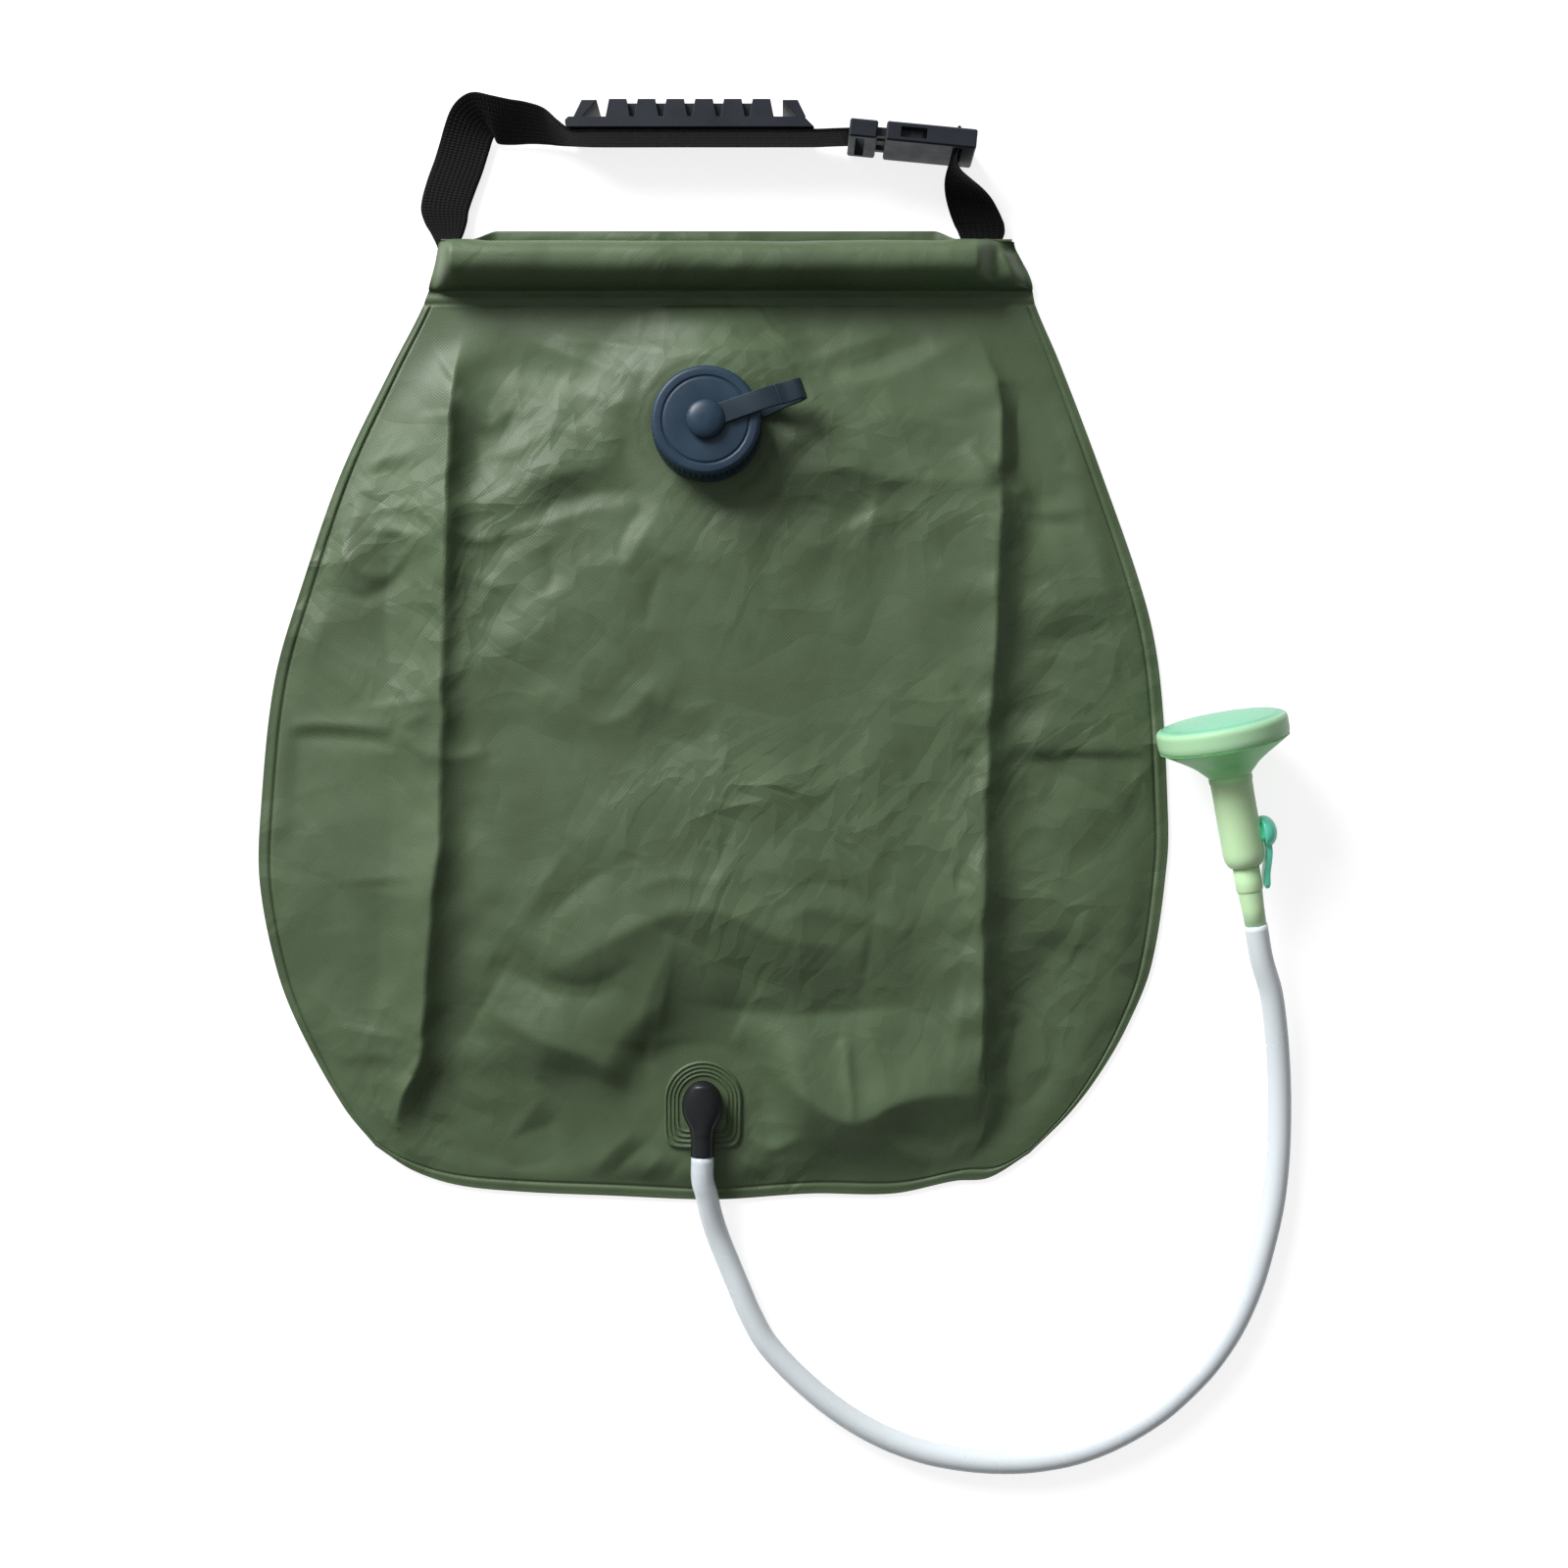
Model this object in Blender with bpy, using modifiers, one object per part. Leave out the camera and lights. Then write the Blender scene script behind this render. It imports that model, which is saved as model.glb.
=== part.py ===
"""Camp shower bag, lying on its back with its hose and shower head beside it.

Metres, +Z up, +Y towards the carrying handle, +X to the right. The origin is on the
underside of the back sheet, at the middle of the bag's width and length.
"""

import math

import bmesh
import bpy
from mathutils import Matrix, Vector

# Clearance kept between pieces that touch, and how far a cutter passes what it cuts
FIT = 0.0003
OVERRUN = 0.004
ROUND_STEPS = 24
TINY = 0.00001

# Bag sheets and the welds that join them
BAG_WIDTH = 0.463
BAG_LENGTH = 0.493
SHEET = 0.0008
EDGE_WELD = 0.006
BAND_WELD = 0.0085
TOP_WELD = 0.0065
CORNER_DROP = 0.006
CROWN = 0.0135
CREASE_HEIGHT = 0.003
CREASE_VALLEY = 0.0026
CREASE_LEFT_REACH = 0.016
CREASE_RIGHT_REACH = 0.006
CREASE_VALLEY_AT = 0.012
CORNER_CREST = 0.012

# Spreader tube in the sleeve at the top
TUBE_DIAMETER = 0.020
TUBE_WALL = 0.0016
TUBE_LENGTH = 0.260
TUBE_X = 0.001
SLEEVE_SLACK = 0.0012
SLEEVE_SIDE_SLACK = 0.002

# Webbing of the carrying handle
WEBBING = 0.0254
WEBBING_THICKNESS = 0.0018
BUNDLE_DIAMETER = 0.0064
STRAP_OUT = 0.0055
FOLD_CLEARANCE = 0.0038
HANDLE_RISE = 0.0454
RUN_LEAN = math.radians(38)

# Ribbed grip
GRIP_LENGTH = 0.1236
GRIP_WIDTH = 0.028
GRIP_X = -0.0108
PLATE = 0.0051
BLOCK_COUNT = 6
BLOCK_HEIGHT = 0.0087
BLOCK_BASE = 0.0121
BLOCK_TOP = 0.0087
BLOCK_PITCH = 0.01426
SPINE_WIDTH = 0.020
HOOK_HEIGHT = 0.0082
GROUND_CLEARANCE = 0.0005

# Side-release buckle
BUCKLE_GAP_TO_GRIP = 0.0174
BUCKLE_TURN = math.radians(-5.5)
BUCKLE_WIDTH = 0.032
PLUG_LENGTH = 0.014
PLUG_THICKNESS = 0.009
PLUG_GAP = 0.0043
PRONG_LENGTH = 0.023
PRONG_WIDTH = 0.0035
PRONG_THICKNESS = 0.0044
BARB_STEP = 0.0006
GUIDE_WIDTH = 0.006
SOCKET_LENGTH = 0.045
SOCKET_THICKNESS = 0.0096
SOCKET_WALL = 0.0025
BUCKLE_RUNNING = 0.0005
BUCKLE_SLOT = 0.0046
SLOT_FROM_END = 0.009
BUCKLE_EDGE = 0.0008

# Filler: neck, cap and tether
FILLER_X = -0.0026
FILLER_FROM_BAND = 0.063
FILLER_SEAT = 0.0132
FILLER_FLAT = 0.040
FILLER_FADE = 0.078
NECK_DIAMETER = 0.047
NECK_WALL = 0.0035
NECK_RISE = 0.0165
NECK_FLANGE = 0.060
NECK_FLANGE_THICKNESS = 0.0015
COLLAR_WIDTH = 0.004
COLLAR_THICKNESS = 0.002
CAP_GAP = 0.0015
CAP_RUNNING = 0.001
CAP_WALL = 0.0028
CAP_PLATE = 0.0024
CAP_BEVEL = 0.0015
CAP_RIB_COUNT = 30
CAP_RIB_DEPTH = 0.0009
CAP_RIB_WIDTH = 0.0024
GROOVE_WIDTH = 0.001
GROOVE_DEPTH = 0.0006
GROOVE_INSET = 0.0035
GASKET_THICKNESS = 0.0016
GASKET_WIDTH = 0.005
BUTTON_DIAMETER = 0.0191
BUTTON_HEIGHT = 0.0028
STEM_DIAMETER = 0.0064
STEM_HEAD = 0.009
STEM_HEAD_HEIGHT = 0.0012
STEM_RUNNING = 0.0004
TETHER_TURN = math.radians(19.5)
TETHER_WIDTH = 0.0105
TETHER_THICKNESS = 0.002
TETHER_REACH = 0.046
TETHER_CURL = 0.0046
TETHER_SPLIT = 0.48
HINGE_ABOVE_SKIRT = 0.004

# Outlet: patch, spigot, elbow and nipple
OUTLET_X = -0.005
OUTLET_FROM_EDGE = 0.0515
OUTLET_SEAT = 0.0055
OUTLET_FLAT = 0.035
OUTLET_FADE = 0.058
PATCH_WIDTH = 0.0395
PATCH_TAIL = 0.0247
PATCH_THICKNESS = 0.001
SPIGOT_DIAMETER = 0.009
SPIGOT_BORE = 0.006
SPIGOT_FLANGE = 0.030
SPIGOT_FLANGE_THICKNESS = 0.0012
SPIGOT_RISE = 0.0065
ELBOW_DIAMETER = 0.0207
ELBOW_HEIGHT = 0.0126
ELBOW_REACH = 0.0273
NOZZLE_DIAMETER = 0.012
BARB_DIAMETER = 0.0078
BARB_BORE = 0.0045
BARB_IN_ELBOW = 0.009
BARB_IN_HOSE = 0.011

# Hose
HOSE_DIAMETER = 0.0115
HOSE_BORE = 0.0085
HOSE_POINTS = 60
HOSE_SPAN = 0.2562

# Shower head, along its axis from the spray face to the tail
HEAD_GAP = 0.0197
HEAD_FROM_OUTLET = 0.1917
HEAD_LEAN = math.radians(11.5)
HEAD_PITCH = math.radians(7.5)
ROSE_DIAMETER = 0.0644
ROSE_BAND = 0.0116
ROSE_WALL = 0.002
ROSE_EDGE = 0.002
HOLE_DIAMETER = 0.0018
HOLE_RINGS = 3
HOLE_PITCH = 0.0078
ROSE_GASKET = 0.001
SHELL_WALL = 0.0018
FLARE_LENGTH = 0.0167
HANDLE_DIAMETER = 0.0204
HANDLE_LENGTH = 0.0462
TAIL_COLLAR_DIAMETER = 0.0132
TAIL_COLLAR_LENGTH = 0.0125
TAIL_LENGTH = 0.0175
TAIL_END_DIAMETER = 0.0104
TAIL_BARB = 0.011
SPIGOT_IN_HANDLE = 0.0065
SPIGOT_IN_HANDLE_DIAMETER = 0.0106
WATERWAY = 0.0052
HANDLE_BORE = 0.009
TAIL_WASHER = 0.001
STOPCOCK_FROM_FLARE = 0.031
STOPCOCK_DIAMETER = 0.0094
KNOB_DIAMETER = 0.016
KNOB_HEIGHT = 0.0073
LEVER_LENGTH = 0.028
LEVER_WIDTH = 0.007
LEVER_THICKNESS = 0.003

# Colours, linear
SHEET_GREEN = (0.070, 0.110, 0.062)
CAP_GREY = (0.040, 0.055, 0.075)
GRIP_GREY = (0.045, 0.055, 0.068)
WEBBING_BLACK = (0.010, 0.010, 0.012)
OUTLET_BLACK = (0.008, 0.009, 0.011)
HEAD_GREEN = (0.40, 0.78, 0.36)
STOPCOCK_TEAL = (0.09, 0.62, 0.42)
HOSE_WHITE = (0.80, 0.86, 0.93)
TUBE_WHITE = (0.72, 0.72, 0.70)
SEAL_GREY = (0.20, 0.20, 0.20)

# The bag's outline as it lies: shares of half its width and of half its length
LEFT_SIDE_SHARES = [
    (-0.743, -0.890), (-0.812, -0.811), (-0.911, -0.645), (-0.961, -0.523), (-0.998, -0.345),
    (-0.996, -0.199), (-0.965, 0.073), (-0.901, 0.280), (-0.816, 0.507), (-0.708, 0.718),
    (-0.644, 0.834), (-0.620, 0.895), (-0.600, 0.966), (-0.590, 1.0),
]
RIGHT_SIDE_SHARES = [
    (0.695, -0.905), (0.784, -0.822), (0.849, -0.742), (0.909, -0.645), (0.963, -0.519),
    (0.998, -0.304), (1.0, -0.199), (0.983, 0.073), (0.950, 0.235), (0.851, 0.507),
    (0.760, 0.732), (0.708, 0.848), (0.698, 0.895), (0.661, 0.966), (0.650, 1.0),
]
BOTTOM_SHARES = [
    (-0.743, -0.890), (-0.663, -0.939), (-0.564, -0.970), (-0.425, -0.984), (-0.233, -0.992),
    (0.004, -1.0), (0.214, -0.988), (0.395, -0.988), (0.531, -0.962), (0.607, -0.955),
    (0.695, -0.905),
]

# Grid lines of the front sheet: across it, with one at each packing crease, and up its bladder
LEFT_CREASE_COLUMN = 0.2
RIGHT_CREASE_COLUMN = 0.8
COLUMNS = [
    0.05, 0.09, 0.13, 0.167, LEFT_CREASE_COLUMN, 0.216, 0.230, 0.265, 0.315, 0.37, 0.415, 0.46, 0.50,
    0.54, 0.585, 0.63, 0.685, 0.735, 0.767, RIGHT_CREASE_COLUMN, 0.816, 0.830, 0.845, 0.88, 0.915, 0.955,
]
ROW_SHARES = [
    0.04, 0.07, 0.10, 0.135, 0.17, 0.215, 0.27, 0.33, 0.40, 0.47, 0.54,
    0.61, 0.68, 0.745, 0.79, 0.825, 0.86, 0.90, 0.935, 0.965, 1.0,
]

# Where the packing creases cross the bladder: shares of the way up it, and of the way across
LEFT_CREASE = [
    (0.0, 0.055), (0.10, 0.115), (0.21, 0.168), (0.32, 0.193), (0.47, 0.189), (0.62, 0.179),
    (0.81, 0.134), (0.92, 0.085), (1.0, 0.075),
]
RIGHT_CREASE = [
    (0.0, 0.885), (0.07, 0.868), (0.11, 0.845), (0.21, 0.813), (0.32, 0.802), (0.45, 0.800),
    (0.59, 0.812), (0.67, 0.826), (0.81, 0.868), (0.88, 0.889), (0.92, 0.898), (1.0, 0.885),
]

# The bag's main folds: height, reach on the handle's side and on the outlet's side, and the
# route of the crest, in shares of half the bag's width and of half its length
MAIN_FOLDS = [
    (
        0.0042, 0.020, 0.010,
        [(0.026, -0.690), (0.173, -0.763), (0.302, -0.836), (0.389, -0.799), (0.484, -0.775),
         (0.592, -0.783)],
    ),
    (
        0.0034, 0.011, 0.013,
        [(-0.492, -0.592), (-0.380, -0.641), (-0.268, -0.661), (-0.181, -0.714), (-0.112, -0.771)],
    ),
    (
        0.0034, 0.016, 0.018,
        [(-0.380, -0.535), (-0.285, -0.495), (-0.138, -0.422), (0.000, -0.398), (0.147, -0.454),
         (0.337, -0.487)],
    ),
    (
        -0.0032, 0.018, 0.018,
        [(-0.104, -0.592), (0.060, -0.617), (0.242, -0.617), (0.380, -0.592)],
    ),
    (
        -0.0030, 0.011, 0.013,
        [(-0.432, 0.381), (-0.337, 0.438), (-0.199, 0.458), (-0.017, 0.446), (0.173, 0.438), (0.346, 0.406)],
    ),
    (
        0.0024, 0.016, 0.008,
        [(0.130, 0.511), (0.276, 0.503), (0.423, 0.483), (0.631, 0.479)],
    ),
    (
        0.0022, 0.014, 0.009,
        [(-0.510, 0.430), (-0.423, 0.471), (-0.311, 0.495), (-0.190, 0.519)],
    ),
    (
        0.0026, 0.010, 0.010,
        [(-0.674, 0.836), (-0.626, 0.746), (-0.553, 0.649), (-0.449, 0.600)],
    ),
]
SLEEVE_STEPS = 9
SLEEVE_FULLNESS = 0.8

# The hose's route from the outlet round to the head: to the right of it, beyond it, and height
HOSE_ROUTE = [
    (0.0020, -0.0470, 0.0122), (0.0040, -0.0570, 0.0096), (0.0075, -0.0690, 0.0070),
    (0.0130, -0.0830, 0.0058), (0.0180, -0.0950, 0.0058), (0.0240, -0.1090, 0.0058),
    (0.0325, -0.1240, 0.0058), (0.0510, -0.1435, 0.0058), (0.0710, -0.1595, 0.0058),
    (0.0910, -0.1710, 0.0058), (0.1110, -0.1785, 0.0058), (0.1310, -0.1825, 0.0058),
    (0.1510, -0.1840, 0.0058), (0.1700, -0.1830, 0.0058), (0.1900, -0.1790, 0.0058),
    (0.2100, -0.1710, 0.0058), (0.2300, -0.1590, 0.0058), (0.2450, -0.1460, 0.0058),
    (0.2570, -0.1330, 0.0058), (0.2690, -0.1150, 0.0058), (0.2780, -0.0950, 0.0058),
    (0.2840, -0.0750, 0.0058), (0.2890, -0.0530, 0.0058), (0.2915, -0.0310, 0.0060),
    (0.2922, -0.0080, 0.0066), (0.2915, 0.0130, 0.0082), (0.2895, 0.0340, 0.0108),
    (0.2860, 0.0550, 0.0142),
]

# Shapes of the flare and the webbing, in shares of the sizes that they follow
FLARE_SHARES = [(0.0, 1.0), (0.10, 0.90), (0.25, 0.69), (0.43, 0.45), (0.64, 0.24), (0.85, 0.09), (1.0, 0.0)]
LEG_SHARES = [
    (0.0, 0.0, 0.50), (-0.03, 0.10, 0.62), (-0.035, 0.24, 0.90), (-0.005, 0.45, 1.0),
    (0.08, 0.72, 1.0), (0.16, 0.98, 1.0), (0.21, 1.20, 0.96), (0.235, 1.34, 0.80), (0.245, 1.40, 0.55),
]
HOOK_SHARES = [0.745, 0.867, 0.932, 0.864]
LEVER_SHARES = [(0.0, 0.0, 0.95), (0.5, 0.0, 1.0), (0.72, 0.35, 1.0), (0.97, 1.0, 0.95), (1.0, 1.0, 0.7)]

# Sizes worked out from the ones above
HALF_WIDTH = BAG_WIDTH / 2
HALF_LENGTH = BAG_LENGTH / 2
WELD_LEVEL = SHEET + FIT
SLEEVE_HALF = TUBE_DIAMETER / 2 + SLEEVE_SIDE_SLACK
SLEEVE_Y = HALF_LENGTH - TOP_WELD - SLEEVE_HALF
BLADDER_TOP = SLEEVE_Y - SLEEVE_HALF - BAND_WELD
FILLER_Y = BLADDER_TOP - FILLER_FROM_BAND
OUTLET_Y = OUTLET_FROM_EDGE - HALF_LENGTH
HEAD_X = HALF_WIDTH + HEAD_GAP
HEAD_Y = OUTLET_Y + HEAD_FROM_OUTLET
TUBE_Z = WELD_LEVEL + TUBE_DIAMETER / 2
SLEEVE_CREST = WELD_LEVEL + TUBE_DIAMETER + SLEEVE_SLACK
TUBE_HALF = TUBE_LENGTH / 2
BUNDLE_Z = WELD_LEVEL + BUNDLE_DIAMETER / 2
CORNER_LEVEL = WELD_LEVEL + BUNDLE_DIAMETER + 2 * FIT
FOLD_Y = HALF_LENGTH - CORNER_DROP + FOLD_CLEARANCE
FOLD_Z = BUNDLE_Z
LEFT_FOOT_X = TUBE_X - TUBE_HALF - STRAP_OUT
RIGHT_FOOT_X = TUBE_X + TUBE_HALF + STRAP_OUT
SHEET_TOP_AT_FILLER = FILLER_SEAT + SHEET
NECK_TOP = SHEET_TOP_AT_FILLER + NECK_RISE
NECK_BOTTOM = FILLER_SEAT - FIT - NECK_FLANGE_THICKNESS
COLLAR_BOTTOM = SHEET_TOP_AT_FILLER + FIT
COLLAR_TOP = COLLAR_BOTTOM + COLLAR_THICKNESS
CAP_BOTTOM = COLLAR_TOP + CAP_GAP
CAP_CEILING = NECK_TOP + 2 * FIT + GASKET_THICKNESS
CAP_TOP = CAP_CEILING + CAP_PLATE
CAP_INSIDE = NECK_DIAMETER / 2 + CAP_RUNNING
CAP_RADIUS = CAP_INSIDE + CAP_WALL
HINGE_Z = CAP_BOTTOM + HINGE_ABOVE_SKIRT
ARM_BOTTOM = CAP_TOP + FIT
ARM_TOP = ARM_BOTTOM + TETHER_THICKNESS
OUTLET_TOP = OUTLET_SEAT + SHEET
PATCH_BOTTOM = OUTLET_TOP + FIT
ELBOW_BOTTOM = PATCH_BOTTOM + PATCH_THICKNESS + FIT
NOZZLE_Z = ELBOW_BOTTOM + FIT + NOZZLE_DIAMETER / 2
NOZZLE_END = OUTLET_Y - ELBOW_REACH
FLARE_END = ROSE_BAND + FLARE_LENGTH
SHOULDER = FLARE_END + HANDLE_LENGTH
TAIL_START = SHOULDER + FIT
TAIL_END = TAIL_START + TAIL_COLLAR_LENGTH + TAIL_LENGTH
STOPCOCK_AT = FLARE_END + STOPCOCK_FROM_FLARE
BARB_RADIUS = BARB_DIAMETER / 2


def fresh_collection(name):
    collection = bpy.data.collections.new(name)
    bpy.context.scene.collection.children.link(collection)
    return collection


for leftover in list(bpy.data.objects):
    bpy.data.objects.remove(leftover, do_unlink=True)
PARTS = fresh_collection("camp_shower_bag")
CUTTERS = fresh_collection("cutters")


def frame(name, origin, axes=None, parent=None):
    """An empty that carries pieces: its place, and its X, Y and Z directions."""
    empty = bpy.data.objects.new(name, None)
    CUTTERS.objects.link(empty)
    turn = Matrix.Identity(3) if axes is None else Matrix([Vector(axis) for axis in axes]).transposed()
    empty.matrix_world = Matrix.Translation(Vector(origin)) @ turn.to_4x4()
    if parent:
        empty.parent = parent
    bpy.context.view_layer.update()
    return empty


def part(name, mesh, colour, roughness, carrier=None):
    """A named piece with its own finish, placed by what carries it."""
    piece = bpy.data.objects.new(name, mesh)
    PARTS.objects.link(piece)
    piece.parent = carrier
    surface = bpy.data.materials.new(name)
    surface.use_nodes = True
    shader = surface.node_tree.nodes["Principled BSDF"]
    shader.inputs["Base Color"].default_value = (*colour, 1.0)
    shader.inputs["Roughness"].default_value = roughness
    shader.inputs["Metallic"].default_value = 0.0
    mesh.materials.append(surface)
    return piece


def tool(name, mesh, carrier=None):
    """A shape that only cuts a piece or is joined into one."""
    shape = bpy.data.objects.new(name, mesh)
    CUTTERS.objects.link(shape)
    shape.parent = carrier
    shape.hide_render = True
    shape.display_type = "WIRE"
    return shape


def combine(piece, shape, operation):
    step = piece.modifiers.new(shape.name, "BOOLEAN")
    step.operation = operation
    step.solver = "EXACT"
    step.object = shape


def cut(piece, shape):
    combine(piece, shape, "DIFFERENCE")


def join(piece, shape):
    combine(piece, shape, "UNION")


def round_edges(piece, width, segments=1):
    step = piece.modifiers.new("edges", "BEVEL")
    step.width = width
    step.segments = segments
    step.limit_method = "ANGLE"
    step.angle_limit = math.radians(40)


def finished(shape, name):
    """The mesh of a bmesh, faces outward."""
    bmesh.ops.recalc_face_normals(shape, faces=shape.faces)
    mesh = bpy.data.meshes.new(name)
    shape.to_mesh(mesh)
    shape.free()
    return mesh


def box_mesh(name, low, high):
    shape = bmesh.new()
    bmesh.ops.create_cube(shape, size=1.0)
    size = Vector(high) - Vector(low)
    middle = (Vector(high) + Vector(low)) / 2
    bmesh.ops.scale(shape, vec=size, verts=shape.verts)
    bmesh.ops.translate(shape, vec=middle, verts=shape.verts)
    return finished(shape, name)


def rod_mesh(name, radius, start, end, segments=ROUND_STEPS, end_radius=None):
    """A cylinder or cone from one point to another."""
    start, end = Vector(start), Vector(end)
    along = end - start
    shape = bmesh.new()
    bmesh.ops.create_cone(
        shape, cap_ends=True, segments=segments, radius1=radius,
        radius2=radius if end_radius is None else end_radius, depth=along.length,
    )
    turn = Vector((0, 0, 1)).rotation_difference(along.normalized()).to_matrix().to_4x4()
    shape.transform(Matrix.Translation((start + end) / 2) @ turn)
    return finished(shape, name)


def profile_mesh(name, profile):
    """The (radius, height) points of a turned shape, open where both ends are on its axis."""
    shape = bmesh.new()
    points = [shape.verts.new((radius, 0.0, height)) for radius, height in profile]
    for first, second in zip(points, points[1:]):
        shape.edges.new((first, second))
    if profile[0][0] > 0:
        shape.edges.new((points[-1], points[0]))
    mesh = bpy.data.meshes.new(name)
    shape.to_mesh(mesh)
    shape.free()
    return mesh


def spin(piece, steps=ROUND_STEPS):
    turning = piece.modifiers.new("turned", "SCREW")
    turning.angle = 2 * math.pi
    turning.screw_offset = 0.0
    turning.iterations = 1
    turning.steps = steps
    turning.render_steps = steps
    turning.axis = "Z"
    turning.use_merge_vertices = True
    turning.merge_threshold = TINY
    turning.use_smooth_shade = True


def turned(name, profile, colour, roughness, carrier=None, steps=ROUND_STEPS):
    piece = part(name, profile_mesh(name, profile), colour, roughness, carrier)
    spin(piece, steps)
    return piece


def outline_mesh(name, points, low, high):
    """A flat outline in X and Y, given thickness from one height to another."""
    shape = bmesh.new()
    corners = [shape.verts.new((x, y, low)) for x, y in points]
    floor = shape.faces.new(corners)
    raised = bmesh.ops.extrude_face_region(shape, geom=[floor])["geom"]
    moved = [item for item in raised if isinstance(item, bmesh.types.BMVert)]
    bmesh.ops.translate(shape, vec=(0, 0, high - low), verts=moved)
    return finished(shape, name)


def ribbon_mesh(name, stations):
    """A flat strip: each station has a centre, a direction along, one across, a width and a thickness."""
    shape = bmesh.new()
    rings = []
    for centre, along, across, width, thickness in stations:
        across = across.normalized()
        through = along.cross(across).normalized()
        side, deep = across * width / 2, through * thickness / 2
        corners = (centre - side - deep, centre + side - deep, centre + side + deep, centre - side + deep)
        rings.append([shape.verts.new(corner) for corner in corners])
    for lower, upper in zip(rings, rings[1:]):
        for index in range(4):
            after = (index + 1) % 4
            shape.faces.new((lower[index], lower[after], upper[after], upper[index]))
    shape.faces.new(rings[0])
    shape.faces.new(rings[-1])
    return finished(shape, name)


def mix(first, second, share):
    return first + (second - first) * share


def smooth(value, low, high):
    """0 below low, 1 above high, and an S-curve between them."""
    share = min(max((value - low) / (high - low), 0.0), 1.0)
    return share * share * (3 - 2 * share)


def curve_at(points, key):
    """A smooth curve through (key, value) points, its slope at each taken from its neighbours."""
    for index in range(len(points) - 1):
        if key <= points[index + 1][0] or index == len(points) - 2:
            break
    slopes = []
    for place in (index, index + 1):
        before, after = points[max(place - 1, 0)], points[min(place + 1, len(points) - 1)]
        slopes.append((after[1] - before[1]) / (after[0] - before[0]))
    (start_key, start), (end_key, end) = points[index], points[index + 1]
    span = end_key - start_key
    share = (key - start_key) / span
    return (
        start * (1 + 2 * share) * (1 - share) ** 2 + slopes[0] * span * share * (1 - share) ** 2
        + end * share ** 2 * (3 - 2 * share) - slopes[1] * span * share ** 2 * (1 - share)
    )


LEFT_SIDE = [(y * HALF_LENGTH, x * HALF_WIDTH) for x, y in LEFT_SIDE_SHARES]
RIGHT_SIDE = [(y * HALF_LENGTH, x * HALF_WIDTH) for x, y in RIGHT_SIDE_SHARES]
BOTTOM = [(x * HALF_WIDTH, y * HALF_LENGTH) for x, y in BOTTOM_SHARES]


def bladder_point(across, along):
    """A place on the bladder, blended from its four edge curves."""
    left_corner, right_corner = Vector(BOTTOM[0]), Vector(BOTTOM[-1])
    left_y = mix(left_corner.y, BLADDER_TOP, along)
    right_y = mix(right_corner.y, BLADDER_TOP, along)
    left = Vector((curve_at(LEFT_SIDE, left_y), left_y))
    right = Vector((curve_at(RIGHT_SIDE, right_y), right_y))
    left_top = Vector((curve_at(LEFT_SIDE, BLADDER_TOP), BLADDER_TOP))
    right_top = Vector((curve_at(RIGHT_SIDE, BLADDER_TOP), BLADDER_TOP))
    bottom_x = mix(left_corner.x, right_corner.x, across)
    bottom = Vector((bottom_x, curve_at(BOTTOM, bottom_x)))
    top = mix(left_top, right_top, across)
    corners = mix(mix(left_corner, right_corner, across), top, along)
    return mix(bottom, top, along) + mix(left, right, across) - corners


def swell(share, edge):
    """How far the crown has risen at this share across the bag: 0 at the weld, 1 in the middle."""
    inside = (min(share, 1 - share) - edge) / (0.5 - edge)
    return 1 - (1 - min(max(inside, 0.0), 1.0)) ** 3


def column_share(column, along):
    """How far across the bladder a grid column is, so that two columns keep to the packing creases."""
    left, right = curve_at(LEFT_CREASE, along), curve_at(RIGHT_CREASE, along)
    if column <= LEFT_CREASE_COLUMN:
        return left * column / LEFT_CREASE_COLUMN
    if column >= RIGHT_CREASE_COLUMN:
        return 1 - (1 - right) * (1 - column) / (1 - RIGHT_CREASE_COLUMN)
    return mix(left, right, (column - LEFT_CREASE_COLUMN) / (RIGHT_CREASE_COLUMN - LEFT_CREASE_COLUMN))


def crease_height(place, along):
    """Each packing crease is a ridge, steeper on its right, with a valley beyond that."""
    total = 0.0
    for crease in (LEFT_CREASE, RIGHT_CREASE):
        beyond = place.x - bladder_point(curve_at(crease, along), along).x
        reach = CREASE_RIGHT_REACH if beyond > 0 else CREASE_LEFT_REACH
        total += CREASE_HEIGHT * math.exp(-(abs(beyond) / reach) ** 1.4)
        if beyond > 0:
            total -= CREASE_VALLEY * beyond / CREASE_VALLEY_AT * math.exp(1 - beyond / CREASE_VALLEY_AT)
    return total


def fold_height(place):
    """What the main folds add: each is a crest with a reach on either side, and fades at its ends."""
    total = 0.0
    for height, north, south, route in MAIN_FOLDS:
        crest = [Vector((x * HALF_WIDTH, y * HALF_LENGTH)) for x, y in route]
        length = sum((after - before).length for before, after in zip(crest, crest[1:]))
        nearest, reached, walked = None, 0.0, 0.0
        for before, after in zip(crest, crest[1:]):
            run = after - before
            share = min(max((place - before).dot(run) / run.length_squared, 0.0), 1.0)
            offset = place - before - run * share
            if nearest is None or offset.length < nearest.length:
                nearest, reached = offset, walked + share * run.length
                reach = north if run.cross(offset) > 0 else south
            walked += run.length
        fade = math.sqrt(max(math.sin(math.pi * reached / length), 0.0))
        total += height * fade * math.exp(-(nearest.length / reach) ** 1.4)
    return total


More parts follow.
